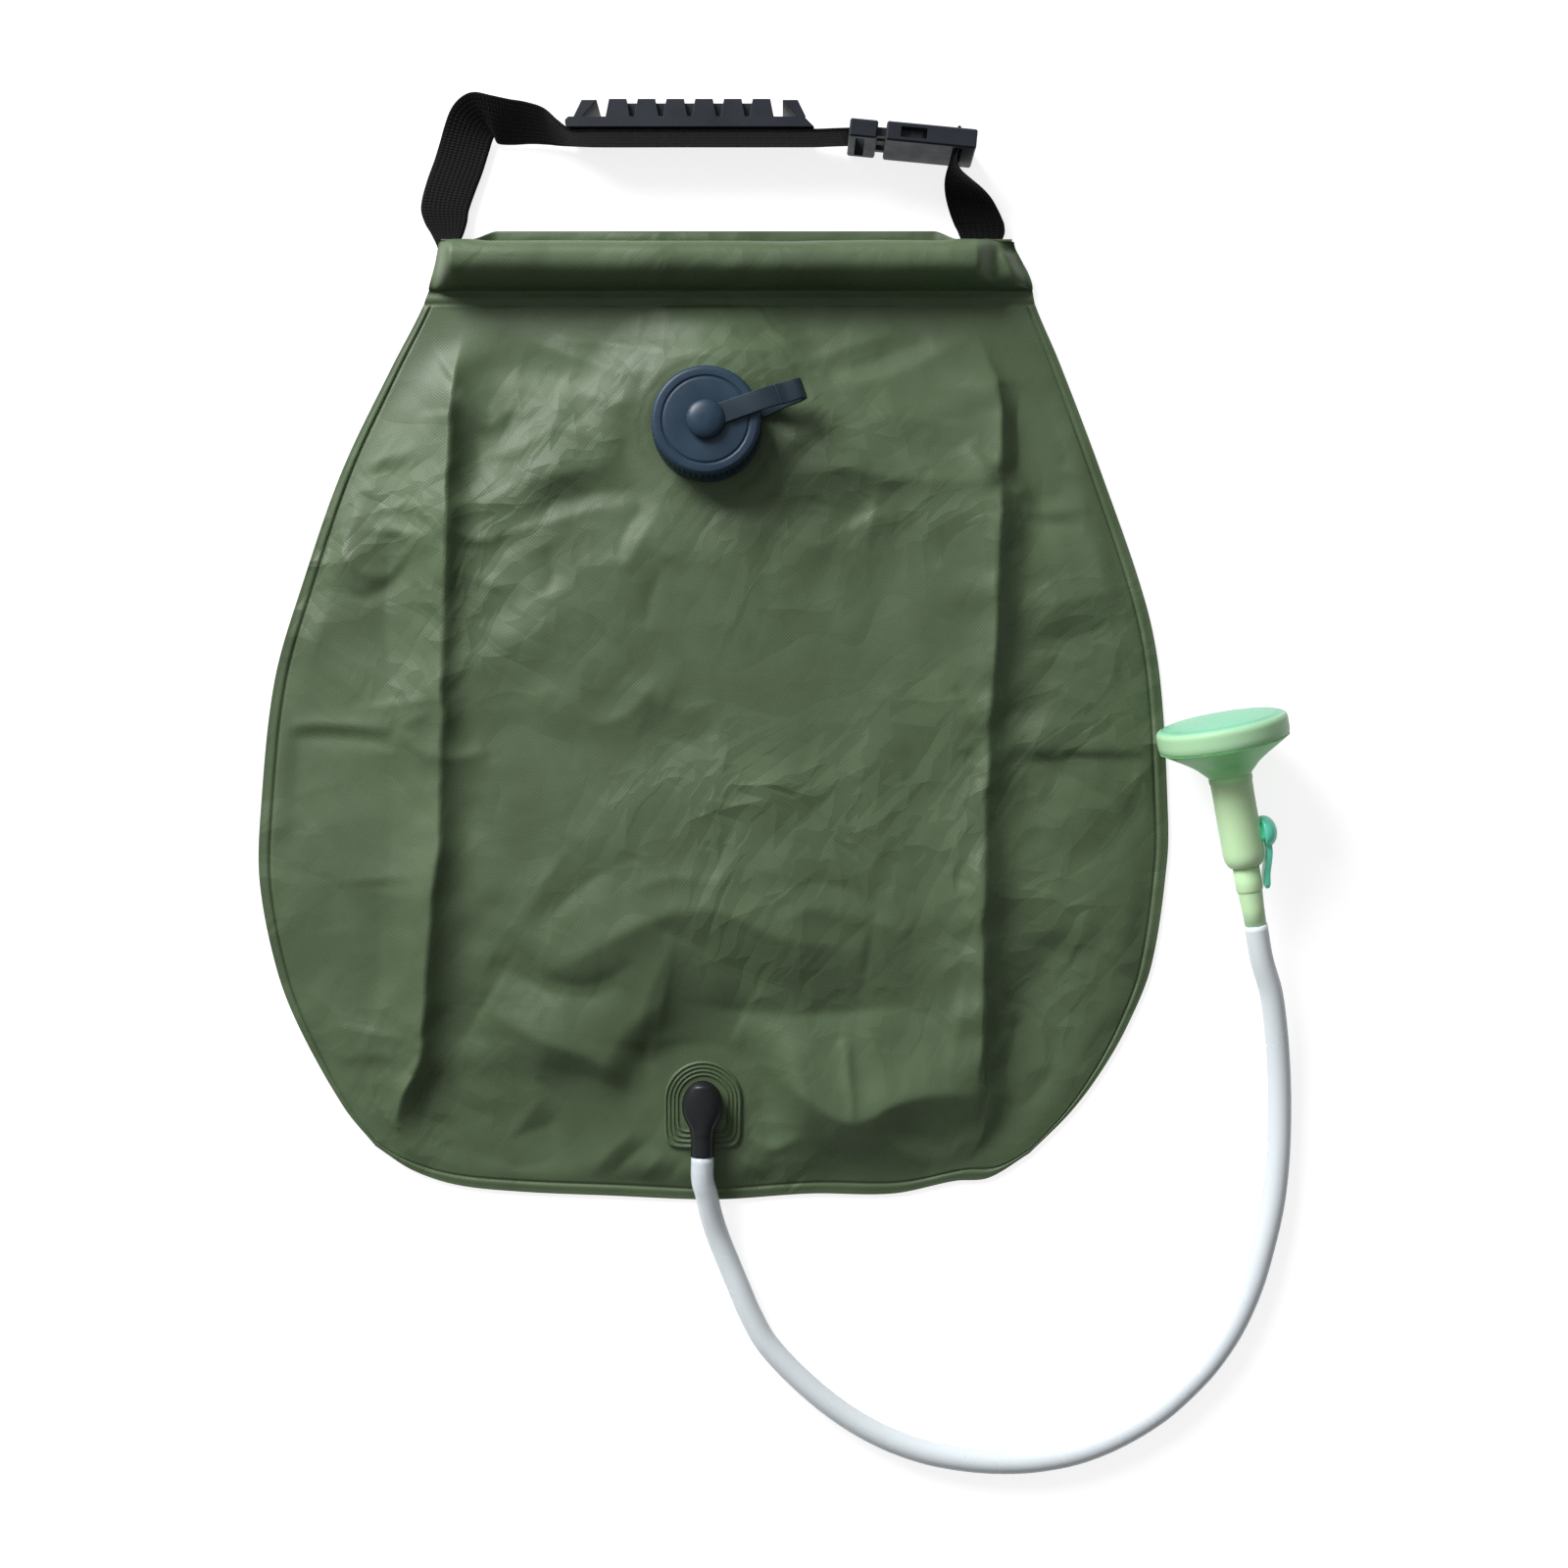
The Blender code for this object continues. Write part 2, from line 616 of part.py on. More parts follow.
def bladder_height(place, across, along):
    """Underside of the front sheet: a low crown with creases and folds, and two flat seats."""
    rise = swell(across, EDGE_WELD / BAG_WIDTH) * swell(along, EDGE_WELD / BAG_LENGTH)
    folds = (crease_height(place, along) + fold_height(place)) * smooth(rise, 0.02, 0.30)
    height = WELD_LEVEL + max(CROWN * rise + folds, 0.0)
    from_filler = (place - Vector((FILLER_X, FILLER_Y))).length
    height = mix(FILLER_SEAT, height, smooth(from_filler, FILLER_FLAT, FILLER_FADE))
    from_outlet = (place - Vector((OUTLET_X, OUTLET_Y))).length
    return mix(OUTLET_SEAT, height, smooth(from_outlet, OUTLET_FLAT, OUTLET_FADE))


def sleeve_end_share(x):
    """0 over the spreader tube, 1 beyond its ends, where the cloth lies lower."""
    return smooth(abs(x - TUBE_X) - TUBE_HALF, 0.0023, 0.0068)


def corner_share(x):
    """0 along the sleeve, 1 at its corners, where the webbing comes out."""
    return smooth(abs(x - TUBE_X), TUBE_HALF - WEBBING / 2 - STRAP_OUT, TUBE_HALF - STRAP_OUT)


def sheet_rows():
    """The front sheet's grid of points, from the bottom weld to the top weld."""
    edge = EDGE_WELD / BAG_WIDTH
    rows = []
    for along in (0.0, EDGE_WELD / BAG_LENGTH, *ROW_SHARES):
        row = []
        for across in sheet_columns(along):
            place = bladder_point(across, along)
            welded = across in (0.0, edge, 1 - edge, 1.0) or along < ROW_SHARES[0] or along == 1.0
            row.append((place.x, place.y, WELD_LEVEL if welded else bladder_height(place, across, along)))
        rows.append(row)
    for step in range(SLEEVE_STEPS + 1):
        turn = math.pi * step / SLEEVE_STEPS
        reach = math.copysign(abs(math.cos(turn)) ** SLEEVE_FULLNESS, math.cos(turn))
        y = SLEEVE_Y - SLEEVE_HALF * reach
        left, right = curve_at(LEFT_SIDE, y), curve_at(RIGHT_SIDE, y)
        row = []
        for across in sheet_columns(1.0):
            x = mix(left, right, across)
            foot = mix(WELD_LEVEL, mix(WELD_LEVEL, CORNER_LEVEL, corner_share(x)), step / SLEEVE_STEPS)
            crest = mix(SLEEVE_CREST, CORNER_CREST, sleeve_end_share(x))
            row.append((x, y, mix(foot, crest, abs(math.sin(turn)) ** SLEEVE_FULLNESS)))
        rows.append(row)
    last = []
    for x, y, z in rows[-1]:
        last.append((x, mix(HALF_LENGTH, HALF_LENGTH - CORNER_DROP, corner_share(x)), z))
    rows.append(last)
    return rows


def sheet_columns(along):
    """Shares across the front sheet of its grid columns, the welds' inner edges among them."""
    edge = EDGE_WELD / BAG_WIDTH
    inner = [min(max(column_share(column, along), edge + TINY), 1 - edge - TINY) for column in COLUMNS]
    return [0.0, edge, *inner, 1 - edge, 1.0]


def make_sheets():
    """Front sheet, raised over the bladder and the tube, and the flat back sheet."""
    rows = sheet_rows()
    shape = bmesh.new()
    grid = [[shape.verts.new(point) for point in row] for row in rows]
    for lower, upper in zip(grid, grid[1:]):
        for index in range(len(lower) - 1):
            shape.faces.new((lower[index], lower[index + 1], upper[index + 1], upper[index]))
    mesh = bpy.data.meshes.new("front_sheet")
    shape.to_mesh(mesh)
    shape.free()
    front = part("front_sheet", mesh, SHEET_GREEN, 0.45)
    wall = front.modifiers.new("wall", "SOLIDIFY")
    wall.thickness = SHEET
    wall.offset = 1.0
    hole_top = SHEET_TOP_AT_FILLER + OVERRUN
    filler = rod_mesh(
        "filler_hole", NECK_DIAMETER / 2 + FIT,
        (FILLER_X, FILLER_Y, FILLER_SEAT - OVERRUN), (FILLER_X, FILLER_Y, hole_top),
    )
    cut(front, tool("filler_hole", filler))
    outlet = rod_mesh(
        "outlet_hole", SPIGOT_DIAMETER / 2 + FIT,
        (OUTLET_X, OUTLET_Y, OUTLET_SEAT - OVERRUN), (OUTLET_X, OUTLET_Y, OUTLET_TOP + OVERRUN),
    )
    cut(front, tool("outlet_hole", outlet))
    edge = [row[0] for row in reversed(rows)]
    edge += rows[0][1:]
    edge += [row[-1] for row in rows[1:]]
    edge += reversed(rows[-1][1:-1])
    outline = [(x, y) for x, y, _ in edge]
    part("back_sheet", outline_mesh("back_sheet", outline, 0.0, SHEET), SHEET_GREEN, 0.45)


def make_spreader():
    """Tube in the sleeve, and the bunched webbing that runs through it."""
    outer, inner = TUBE_DIAMETER / 2, TUBE_DIAMETER / 2 - TUBE_WALL
    carrier = frame("tube_axis", (TUBE_X, SLEEVE_Y, TUBE_Z), ((0, 0, -1), (0, 1, 0), (1, 0, 0)))
    profile = [(outer, TUBE_HALF), (outer, -TUBE_HALF), (inner, -TUBE_HALF), (inner, TUBE_HALF)]
    turned("spreader_tube", profile, TUBE_WHITE, 0.4, carrier)

    radius = BUNDLE_DIAMETER / 2
    rest = TUBE_Z - inner + FIT + radius
    end_y = FOLD_Y - WEBBING_THICKNESS
    half_route = [
        (STRAP_OUT, end_y, BUNDLE_Z), (STRAP_OUT, mix(SLEEVE_Y, end_y, 0.70), BUNDLE_Z),
        (STRAP_OUT, mix(SLEEVE_Y, end_y, 0.35), mix(BUNDLE_Z, rest, 0.5)),
        (STRAP_OUT * 0.75, mix(SLEEVE_Y, end_y, 0.08), rest), (STRAP_OUT * 0.2, SLEEVE_Y, rest),
        (-STRAP_OUT * 0.6, SLEEVE_Y, rest),
    ]
    left_end, right_end = TUBE_X - TUBE_HALF, TUBE_X + TUBE_HALF
    route = [(left_end - x, y, z) for x, y, z in half_route]
    route += [(right_end + x, y, z) for x, y, z in reversed(half_route)]
    part("sleeve_strap", tube_mesh("sleeve_strap", route, radius), WEBBING_BLACK, 0.9)


def tube_mesh(name, route, radius, resolution=2):
    """A closed tube along a route of straight steps."""
    line = bpy.data.curves.new(name, "CURVE")
    line.dimensions = "3D"
    line.bevel_depth = radius
    line.bevel_resolution = resolution
    line.use_fill_caps = True
    spline = line.splines.new("POLY")
    spline.points.add(len(route) - 1)
    for point, place in zip(spline.points, route):
        point.co = (*place, 1.0)
    guide = tool(name + "_line", line)
    evaluated = guide.evaluated_get(bpy.context.evaluated_depsgraph_get())
    mesh = bpy.data.meshes.new_from_object(evaluated)
    bpy.data.objects.remove(guide, do_unlink=True)
    shape = bmesh.new()
    shape.from_mesh(mesh)
    bmesh.ops.remove_doubles(shape, verts=shape.verts, dist=TINY)
    bpy.data.meshes.remove(mesh)
    return finished(shape, name)


def make_filler():
    """Neck with its flange, the cap's tether, the button, the ribbed cap and its gasket."""
    axis = frame("filler_axis", (FILLER_X, FILLER_Y, 0.0))
    outer, inner = NECK_DIAMETER / 2, NECK_DIAMETER / 2 - NECK_WALL
    flange_top = NECK_BOTTOM + NECK_FLANGE_THICKNESS
    profile = [
        (outer, NECK_TOP), (outer, flange_top), (NECK_FLANGE / 2, flange_top),
        (NECK_FLANGE / 2, NECK_BOTTOM), (inner, NECK_BOTTOM), (inner, NECK_TOP),
    ]
    turned("filler_neck", profile, CAP_GREY, 0.4, axis)

    collar_in = outer + FIT
    collar_out = collar_in + COLLAR_WIDTH
    profile = [
        (collar_out, COLLAR_TOP), (collar_out, COLLAR_BOTTOM),
        (collar_in, COLLAR_BOTTOM), (collar_in, COLLAR_TOP),
    ]
    turned("tether_collar", profile, CAP_GREY, 0.5, axis)

    make_tether(collar_out + FIT)
    make_cap(axis)


def make_tether(strap_start):
    """The strap that keeps the cap: out from the collar, a curl, and back over the cap's rim."""
    along = Vector((math.cos(TETHER_TURN), math.sin(TETHER_TURN), 0))
    across = Vector((-along.y, along.x, 0))
    carrier = frame(
        "tether_hinge", Vector((FILLER_X, FILLER_Y, HINGE_Z)) + along * TETHER_REACH,
        (along, across, (0, 0, 1)),
    )
    sideways = Vector((0, 1, 0))
    thick = TETHER_THICKNESS

    def station(reach, height, direction, share=1.0, width=TETHER_WIDTH):
        place = Vector((reach - TETHER_REACH, 0, height - HINGE_Z))
        return (place, direction, sideways, width, thick * share)

    level = (COLLAR_BOTTOM + COLLAR_TOP) / 2
    end = TETHER_REACH - thick / 2 - FIT
    out = Vector((1, 0, 0))
    climb = Vector((1, 0, 0.6))
    middle = mix(strap_start, end, 0.45)
    strap = [
        station(strap_start, level, out),
        station(mix(strap_start, end, 0.14), level, out),
        station(middle, mix(level, HINGE_Z, 0.55), climb),
        station(mix(strap_start, end, 0.80), mix(level, HINGE_Z, 0.97), Vector((1, 0, 0.2))),
        station(end, HINGE_Z, out, 0.6),
    ]
    part("tether_strap", ribbon_mesh("tether_strap", strap), CAP_GREY, 0.5, carrier)

    bend = [station(TETHER_REACH - thick * 0.45, HINGE_Z, out, 0.3)]
    bend.append(station(TETHER_REACH - thick * 0.3, HINGE_Z, out, 0.8))
    for step in range(7):
        turn = -math.pi / 2 + math.pi * step / 6
        direction = Vector((-math.sin(turn), 0, math.cos(turn)))
        place = (TETHER_REACH + TETHER_CURL * math.cos(turn), HINGE_Z + TETHER_CURL * (1 + math.sin(turn)))
        bend.append(station(*place, direction))
    curl_top = HINGE_Z + 2 * TETHER_CURL
    ring_level = (ARM_BOTTOM + ARM_TOP) / 2
    back = Vector((-1, 0, 0))

    def rising(share, gap=0.0):
        reach = mix(TETHER_REACH, CAP_RADIUS, share) - gap
        return reach, mix(curl_top, ring_level, smooth(share, 0.0, 1.0))

    bend.append(station(*rising(0.25), Vector((-1, 0, 0.3))))
    bend.append(station(*rising(TETHER_SPLIT), back))
    part("tether_bend", ribbon_mesh("tether_bend", bend), CAP_GREY, 0.5, carrier)

    arm = [
        station(*rising(TETHER_SPLIT, FIT), back), station(*rising(0.75), Vector((-1, 0, 0.35))),
        station(*rising(1.0), back), station(STEM_DIAMETER, ring_level, back, 1.0, TETHER_WIDTH * 1.15),
    ]
    piece = part("tether_arm", ribbon_mesh("tether_arm", arm), CAP_GREY, 0.5, carrier)
    ring_radius = BUTTON_DIAMETER / 2 - 2 * FIT
    centre = (-TETHER_REACH, 0)
    low, high = ARM_BOTTOM - HINGE_Z, ARM_TOP - HINGE_Z
    ring = rod_mesh("tether_ring", ring_radius, (*centre, low), (*centre, high))
    join(piece, tool("tether_ring", ring, carrier))
    hole = rod_mesh(
        "tether_hole", STEM_DIAMETER / 2 + STEM_RUNNING,
        (*centre, low - OVERRUN), (*centre, high + OVERRUN),
    )
    cut(piece, tool("tether_hole", hole, carrier))


def make_cap(axis):
    """Ribbed cap with a ring groove in its top, the button through its middle, and the gasket."""
    stem = STEM_DIAMETER / 2
    hole = stem + STEM_RUNNING
    groove_out = CAP_RADIUS - CAP_BEVEL - GROOVE_INSET
    groove_in = groove_out - GROOVE_WIDTH
    profile = [
        (hole, CAP_TOP), (groove_in, CAP_TOP), (groove_in, CAP_TOP - GROOVE_DEPTH),
        (groove_out, CAP_TOP - GROOVE_DEPTH), (groove_out, CAP_TOP),
        (CAP_RADIUS - CAP_BEVEL, CAP_TOP), (CAP_RADIUS, CAP_TOP - CAP_BEVEL),
        (CAP_RADIUS, CAP_BOTTOM), (CAP_INSIDE, CAP_BOTTOM), (CAP_INSIDE, CAP_CEILING), (hole, CAP_CEILING),
    ]
    cap = turned("screw_cap", profile, CAP_GREY, 0.4, axis, 2 * CAP_RIB_COUNT)
    flutes = bmesh.new()
    for index in range(CAP_RIB_COUNT):
        turn = Matrix.Rotation(2 * math.pi * index / CAP_RIB_COUNT, 4, "Z")
        made = bmesh.ops.create_cube(flutes, size=1.0)["verts"]
        bmesh.ops.scale(flutes, vec=(2 * CAP_RIB_DEPTH, CAP_RIB_WIDTH, CAP_TOP - CAP_BOTTOM), verts=made)
        middle = CAP_BOTTOM - 2 * CAP_BEVEL + (CAP_TOP - CAP_BOTTOM) / 2
        bmesh.ops.translate(flutes, vec=(CAP_RADIUS, 0, middle), verts=made)
        bmesh.ops.transform(flutes, matrix=turn, verts=made)
    cut(cap, tool("cap_flutes", finished(flutes, "cap_flutes"), axis))

    button_bottom = ARM_TOP + FIT
    button_top = button_bottom + BUTTON_HEIGHT
    head = BUTTON_DIAMETER / 2
    stem_end = CAP_CEILING - FIT
    profile = [
        (0.0, button_top), (head * 0.45, button_top - BUTTON_HEIGHT * 0.08),
        (head * 0.8, button_top - BUTTON_HEIGHT * 0.32), (head, button_top - BUTTON_HEIGHT * 0.75),
        (head, button_bottom), (stem, button_bottom), (stem, stem_end),
        (STEM_HEAD / 2, stem_end), (stem, stem_end - STEM_HEAD_HEIGHT), (0.0, stem_end - STEM_HEAD_HEIGHT),
    ]
    turned("cap_button", profile, CAP_GREY, 0.35, axis)

    seal_out = NECK_DIAMETER / 2
    seal_in = seal_out - GASKET_WIDTH
    low, high = NECK_TOP + FIT, CAP_CEILING - FIT
    profile = [(seal_out, high), (seal_out, low), (seal_in, low), (seal_in, high)]
    turned("cap_gasket", profile, SEAL_GREY, 0.8, axis)


def make_outlet():
    """Arch-shaped patch, flanged spigot, elbow with its nozzle towards the bottom edge, and nipple."""
    half = PATCH_WIDTH / 2
    corner = half * 0.2
    points = [(OUTLET_X + half * math.cos(turn), OUTLET_Y + half * math.sin(turn))
              for turn in [math.pi * step / 12 for step in range(13)]]
    points += [
        (OUTLET_X - half, OUTLET_Y - PATCH_TAIL + corner), (OUTLET_X - half + corner, OUTLET_Y - PATCH_TAIL),
        (OUTLET_X + half - corner, OUTLET_Y - PATCH_TAIL), (OUTLET_X + half, OUTLET_Y - PATCH_TAIL + corner),
    ]
    mesh = outline_mesh("outlet_patch", points, PATCH_BOTTOM, PATCH_BOTTOM + PATCH_THICKNESS)
    patch = part("outlet_patch", mesh, SHEET_GREEN, 0.45)
    axis = frame("outlet_axis", (OUTLET_X, OUTLET_Y, 0.0))
    spigot = SPIGOT_DIAMETER / 2
    top = OUTLET_TOP + SPIGOT_RISE
    hole = rod_mesh("patch_hole", spigot + FIT, (0, 0, OUTLET_TOP - OVERRUN), (0, 0, top))
    cut(patch, tool("patch_hole", hole, axis))

    under = OUTLET_SEAT - FIT
    profile = [
        (spigot, top), (spigot, under), (SPIGOT_FLANGE / 2, under),
        (SPIGOT_FLANGE / 2, under - SPIGOT_FLANGE_THICKNESS),
        (SPIGOT_BORE / 2, under - SPIGOT_FLANGE_THICKNESS), (SPIGOT_BORE / 2, top),
    ]
    turned("outlet_spigot", profile, OUTLET_BLACK, 0.5, axis)

    body = ELBOW_DIAMETER / 2
    rim = ELBOW_BOTTOM + ELBOW_HEIGHT
    profile = [(0.0, rim)]
    for step in range(1, 6):
        turn = math.pi / 2 * step / 5
        profile.append((body * math.sin(turn), ELBOW_BOTTOM + ELBOW_HEIGHT * (0.35 + 0.65 * math.cos(turn))))
    profile += [(body, ELBOW_BOTTOM), (0.0, ELBOW_BOTTOM)]
    elbow = turned("outlet_elbow", profile, OUTLET_BLACK, 0.45, axis)
    nozzle = NOZZLE_DIAMETER / 2
    spout_axis = frame("spout_axis", (OUTLET_X, OUTLET_Y, NOZZLE_Z), ((1, 0, 0), (0, 0, 1), (0, -1, 0)))
    start = body * 0.4
    profile = [
        (0.0, ELBOW_REACH), (nozzle, ELBOW_REACH), (nozzle, ELBOW_REACH * 0.7),
        (body * 0.6, start), (0.0, start),
    ]
    spout = tool("elbow_spout", profile_mesh("elbow_spout", profile), spout_axis)
    spin(spout, 18)
    join(elbow, spout)
    well = rod_mesh("elbow_well", spigot + FIT, (0, 0, ELBOW_BOTTOM - OVERRUN), (0, 0, top + FIT), 20)
    cut(elbow, tool("elbow_well", well, axis))
    start, end = (0, spigot * 0.37, NOZZLE_Z), (0, -ELBOW_REACH - OVERRUN, NOZZLE_Z)
    cut(elbow, tool("elbow_bore", rod_mesh("elbow_bore", BARB_RADIUS + FIT, start, end, 20), axis))

    nipple = frame("nipple_axis", (OUTLET_X, NOZZLE_END, NOZZLE_Z), ((1, 0, 0), (0, 0, 1), (0, -1, 0)))
    bore_radius = BARB_BORE / 2
    ridge = BARB_RADIUS
    low = BARB_RADIUS * 0.86
    profile = [
        (low, BARB_IN_HOSE), (ridge, BARB_IN_HOSE * 0.72), (low, BARB_IN_HOSE * 0.72),
        (ridge, BARB_IN_HOSE * 0.40), (low, BARB_IN_HOSE * 0.40), (ridge, BARB_IN_HOSE * 0.08),
        (ridge, -BARB_IN_ELBOW), (bore_radius, -BARB_IN_ELBOW), (bore_radius, BARB_IN_HOSE),
    ]
    turned("hose_barb", profile, OUTLET_BLACK, 0.5, nipple, 16)


def head_axes():
    """Directions of the head: to its right, downwards, and out of its spray face."""
    facing = Vector((
        -math.sin(HEAD_LEAN) * math.cos(HEAD_PITCH),
        math.cos(HEAD_LEAN) * math.cos(HEAD_PITCH),
        math.sin(HEAD_PITCH),
    ))
    right = Vector((math.cos(HEAD_LEAN), math.sin(HEAD_LEAN), 0.0))
    return right, facing.cross(right), facing


def head_origin():
    rest = ROSE_DIAMETER / 2 * math.cos(HEAD_PITCH) + ROSE_BAND * math.sin(HEAD_PITCH)
    return Vector((HEAD_X, HEAD_Y, rest))


def make_head():
    """Flared shell, spray face and its gasket, stopcock, and the tail with its washer."""
    head = frame("head_axis", head_origin(), head_axes())
    rim = ROSE_DIAMETER / 2
    inside = rim - ROSE_WALL
    profile = [
        (0.0, 0.0), (rim - ROSE_EDGE, -ROSE_EDGE * 0.25), (rim - ROSE_EDGE * 0.3, -ROSE_EDGE * 0.5),
        (rim, -ROSE_EDGE * 1.3), (rim, -ROSE_BAND + ROSE_EDGE), (rim - ROSE_EDGE * 0.4, -ROSE_BAND),
        (inside, -ROSE_BAND), (inside, -ROSE_WALL - ROSE_EDGE * 0.25), (0.0, -ROSE_WALL),
    ]
    rose = turned("rose_cap", profile, HEAD_GREEN, 0.3, head, 32)
    holes = bmesh.new()
    for ring in range(HOLE_RINGS + 1):
        for index in range(max(6 * ring, 1)):
            turn = 2 * math.pi * index / max(6 * ring, 1)
            made = bmesh.ops.create_cone(
                holes, cap_ends=True, segments=6, radius1=HOLE_DIAMETER / 2,
                radius2=HOLE_DIAMETER / 2, depth=2 * OVERRUN,
            )["verts"]
            place = (ring * HOLE_PITCH * math.cos(turn), ring * HOLE_PITCH * math.sin(turn), 0)
            bmesh.ops.translate(holes, vec=place, verts=made)
    cut(rose, tool("rose_holes", finished(holes, "rose_holes"), head))

    seat = inside - FIT
    seal_top = -ROSE_WALL - ROSE_EDGE * 0.25 - FIT
    shell_top = seal_top - ROSE_GASKET - FIT
    wall = SHELL_WALL
    profile = [(seat, seal_top), (seat, seal_top - ROSE_GASKET),
               (seat - 2 * wall, seal_top - ROSE_GASKET), (seat - 2 * wall, seal_top)]
    turned("rose_gasket", profile, SEAL_GREY, 0.8, head)

    handle = HANDLE_DIAMETER / 2
    neck = handle * 0.97
    flare_base = -ROSE_BAND - FIT
    flare_start = rim - ROSE_EDGE * 0.5
    flare = [
        (mix(neck, flare_start, size), mix(flare_base, -FLARE_END, share)) for share, size in FLARE_SHARES
    ]
    bore = HANDLE_BORE / 2
    water = WATERWAY / 2
    spigot_hole = SPIGOT_IN_HANDLE_DIAMETER / 2 + FIT
    spigot_top = -SHOULDER + SPIGOT_IN_HANDLE + 2 * FIT + TAIL_WASHER
    outer = [(seat, shell_top), (seat, flare_base), *flare]
    outer += [
        (handle, -FLARE_END - HANDLE_LENGTH * 0.05), (handle, -SHOULDER + HANDLE_LENGTH * 0.17),
        (handle * 0.93, -SHOULDER + HANDLE_LENGTH * 0.06), (handle * 0.78, -SHOULDER),
    ]
    inner = [
        (spigot_hole, -SHOULDER), (spigot_hole, spigot_top), (bore, spigot_top),
        (bore, -FLARE_END - HANDLE_LENGTH * 0.04),
    ]
    flare_inside = [
        (mix(bore, seat - wall, size), mix(flare_base, -FLARE_END, share) + wall * (0.4 - size))
        for share, size in FLARE_SHARES[::-1][1:-1]
    ]
    inner += flare_inside
    inner += [(seat - wall, flare_base - wall * 0.6), (seat - wall, shell_top)]
    shell = turned("head_shell", outer + inner, HEAD_GREEN, 0.3, head)

    cock = frame("stopcock_axis", head.matrix_world @ Vector((0, 0, -STOPCOCK_AT)), head_axes(), None)
    radius = STOPCOCK_DIAMETER / 2
    cross = rod_mesh("stopcock_bore", radius + FIT, (-handle - OVERRUN, 0, 0), (handle + OVERRUN, 0, 0))
    boss_depth = radius + FIT + wall
    boss = rod_mesh("stopcock_boss", boss_depth, (-handle * 0.72, 0, 0), (handle * 0.72, 0, 0))
    join(shell, tool("stopcock_boss", boss, cock))
    passage = rod_mesh("stopcock_passage", water, (0, 0, -boss_depth * 1.5), (0, 0, boss_depth * 1.5), 16)
    cut(shell, tool("stopcock_passage", passage, cock))
    cut(shell, tool("stopcock_bore", cross, cock))

    make_stopcock(cock, handle, radius, water)
    make_tail(head, water)


def make_stopcock(cock, handle, radius, water):
    """Plug across the handle, with a domed knob and a lever that lies along the handle when open."""
    knob = KNOB_DIAMETER / 2
    face = handle + 2 * FIT
    carrier = frame("plug_axis", cock.matrix_world.translation, None)
    right, down, facing = head_axes()
    turn = Matrix([facing * -1, down, right]).transposed()
    carrier.matrix_world = Matrix.Translation(cock.matrix_world.translation) @ turn.to_4x4()
    profile = [(0.0, face + KNOB_HEIGHT)]
    for step in range(1, 5):
        angle = math.pi / 2 * step / 5
        profile.append((knob * math.sin(angle), face + KNOB_HEIGHT * (0.2 + 0.8 * math.cos(angle))))
    profile += [(knob, face + KNOB_HEIGHT * 0.2), (knob, face)]
    profile += [(radius, face), (radius, -handle), (0.0, -handle)]
    plug = turned("stopcock", profile, STOPCOCK_TEAL, 0.35, carrier)
    start = Vector((knob * 0.5, 0, face + LEVER_THICKNESS * 0.6))
    stations = []
    for share, drop, width in LEVER_SHARES:
        place = Vector((mix(start.x, LEVER_LENGTH, share), 0, start.z - drop * LEVER_THICKNESS * 1.2))
        stations.append((place, Vector((1, 0, 0)), Vector((0, 1, 0)), LEVER_WIDTH * width, LEVER_THICKNESS))
    join(plug, tool("stopcock_lever", ribbon_mesh("stopcock_lever", stations), carrier))
    way = rod_mesh("stopcock_way", water, (-radius - OVERRUN, 0, 0), (radius + OVERRUN, 0, 0), 16)
    cut(plug, tool("stopcock_way", way, carrier))


def make_tail(head, water):
    """Tapered tail: a spigot up into the handle, a collar, a taper, and a barb inside the hose."""
    spigot = SPIGOT_IN_HANDLE_DIAMETER / 2
    collar = TAIL_COLLAR_DIAMETER / 2
    end = TAIL_END_DIAMETER / 2
    top = -SHOULDER + SPIGOT_IN_HANDLE
    collar_end = -TAIL_START - TAIL_COLLAR_LENGTH
    low = BARB_RADIUS * 0.86
    tip = -TAIL_END - TAIL_BARB
    profile = [
        (spigot, top), (spigot, -TAIL_START), (collar, -TAIL_START), (collar, collar_end),
        (collar * 0.95, collar_end), (end, -TAIL_END), (low, -TAIL_END),
        (BARB_RADIUS, mix(-TAIL_END, tip, 0.35)), (low, mix(-TAIL_END, tip, 0.40)),
        (BARB_RADIUS, mix(-TAIL_END, tip, 0.70)), (low, tip), (water, tip), (water, top),
    ]
    turned("head_tail", profile, HEAD_GREEN, 0.3, head, 20)
    low, high = top + FIT, top + FIT + TAIL_WASHER
    profile = [(spigot, high), (spigot, low), (water, low), (water, high)]
    turned("tail_washer", profile, SEAL_GREY, 0.8, head, 16)


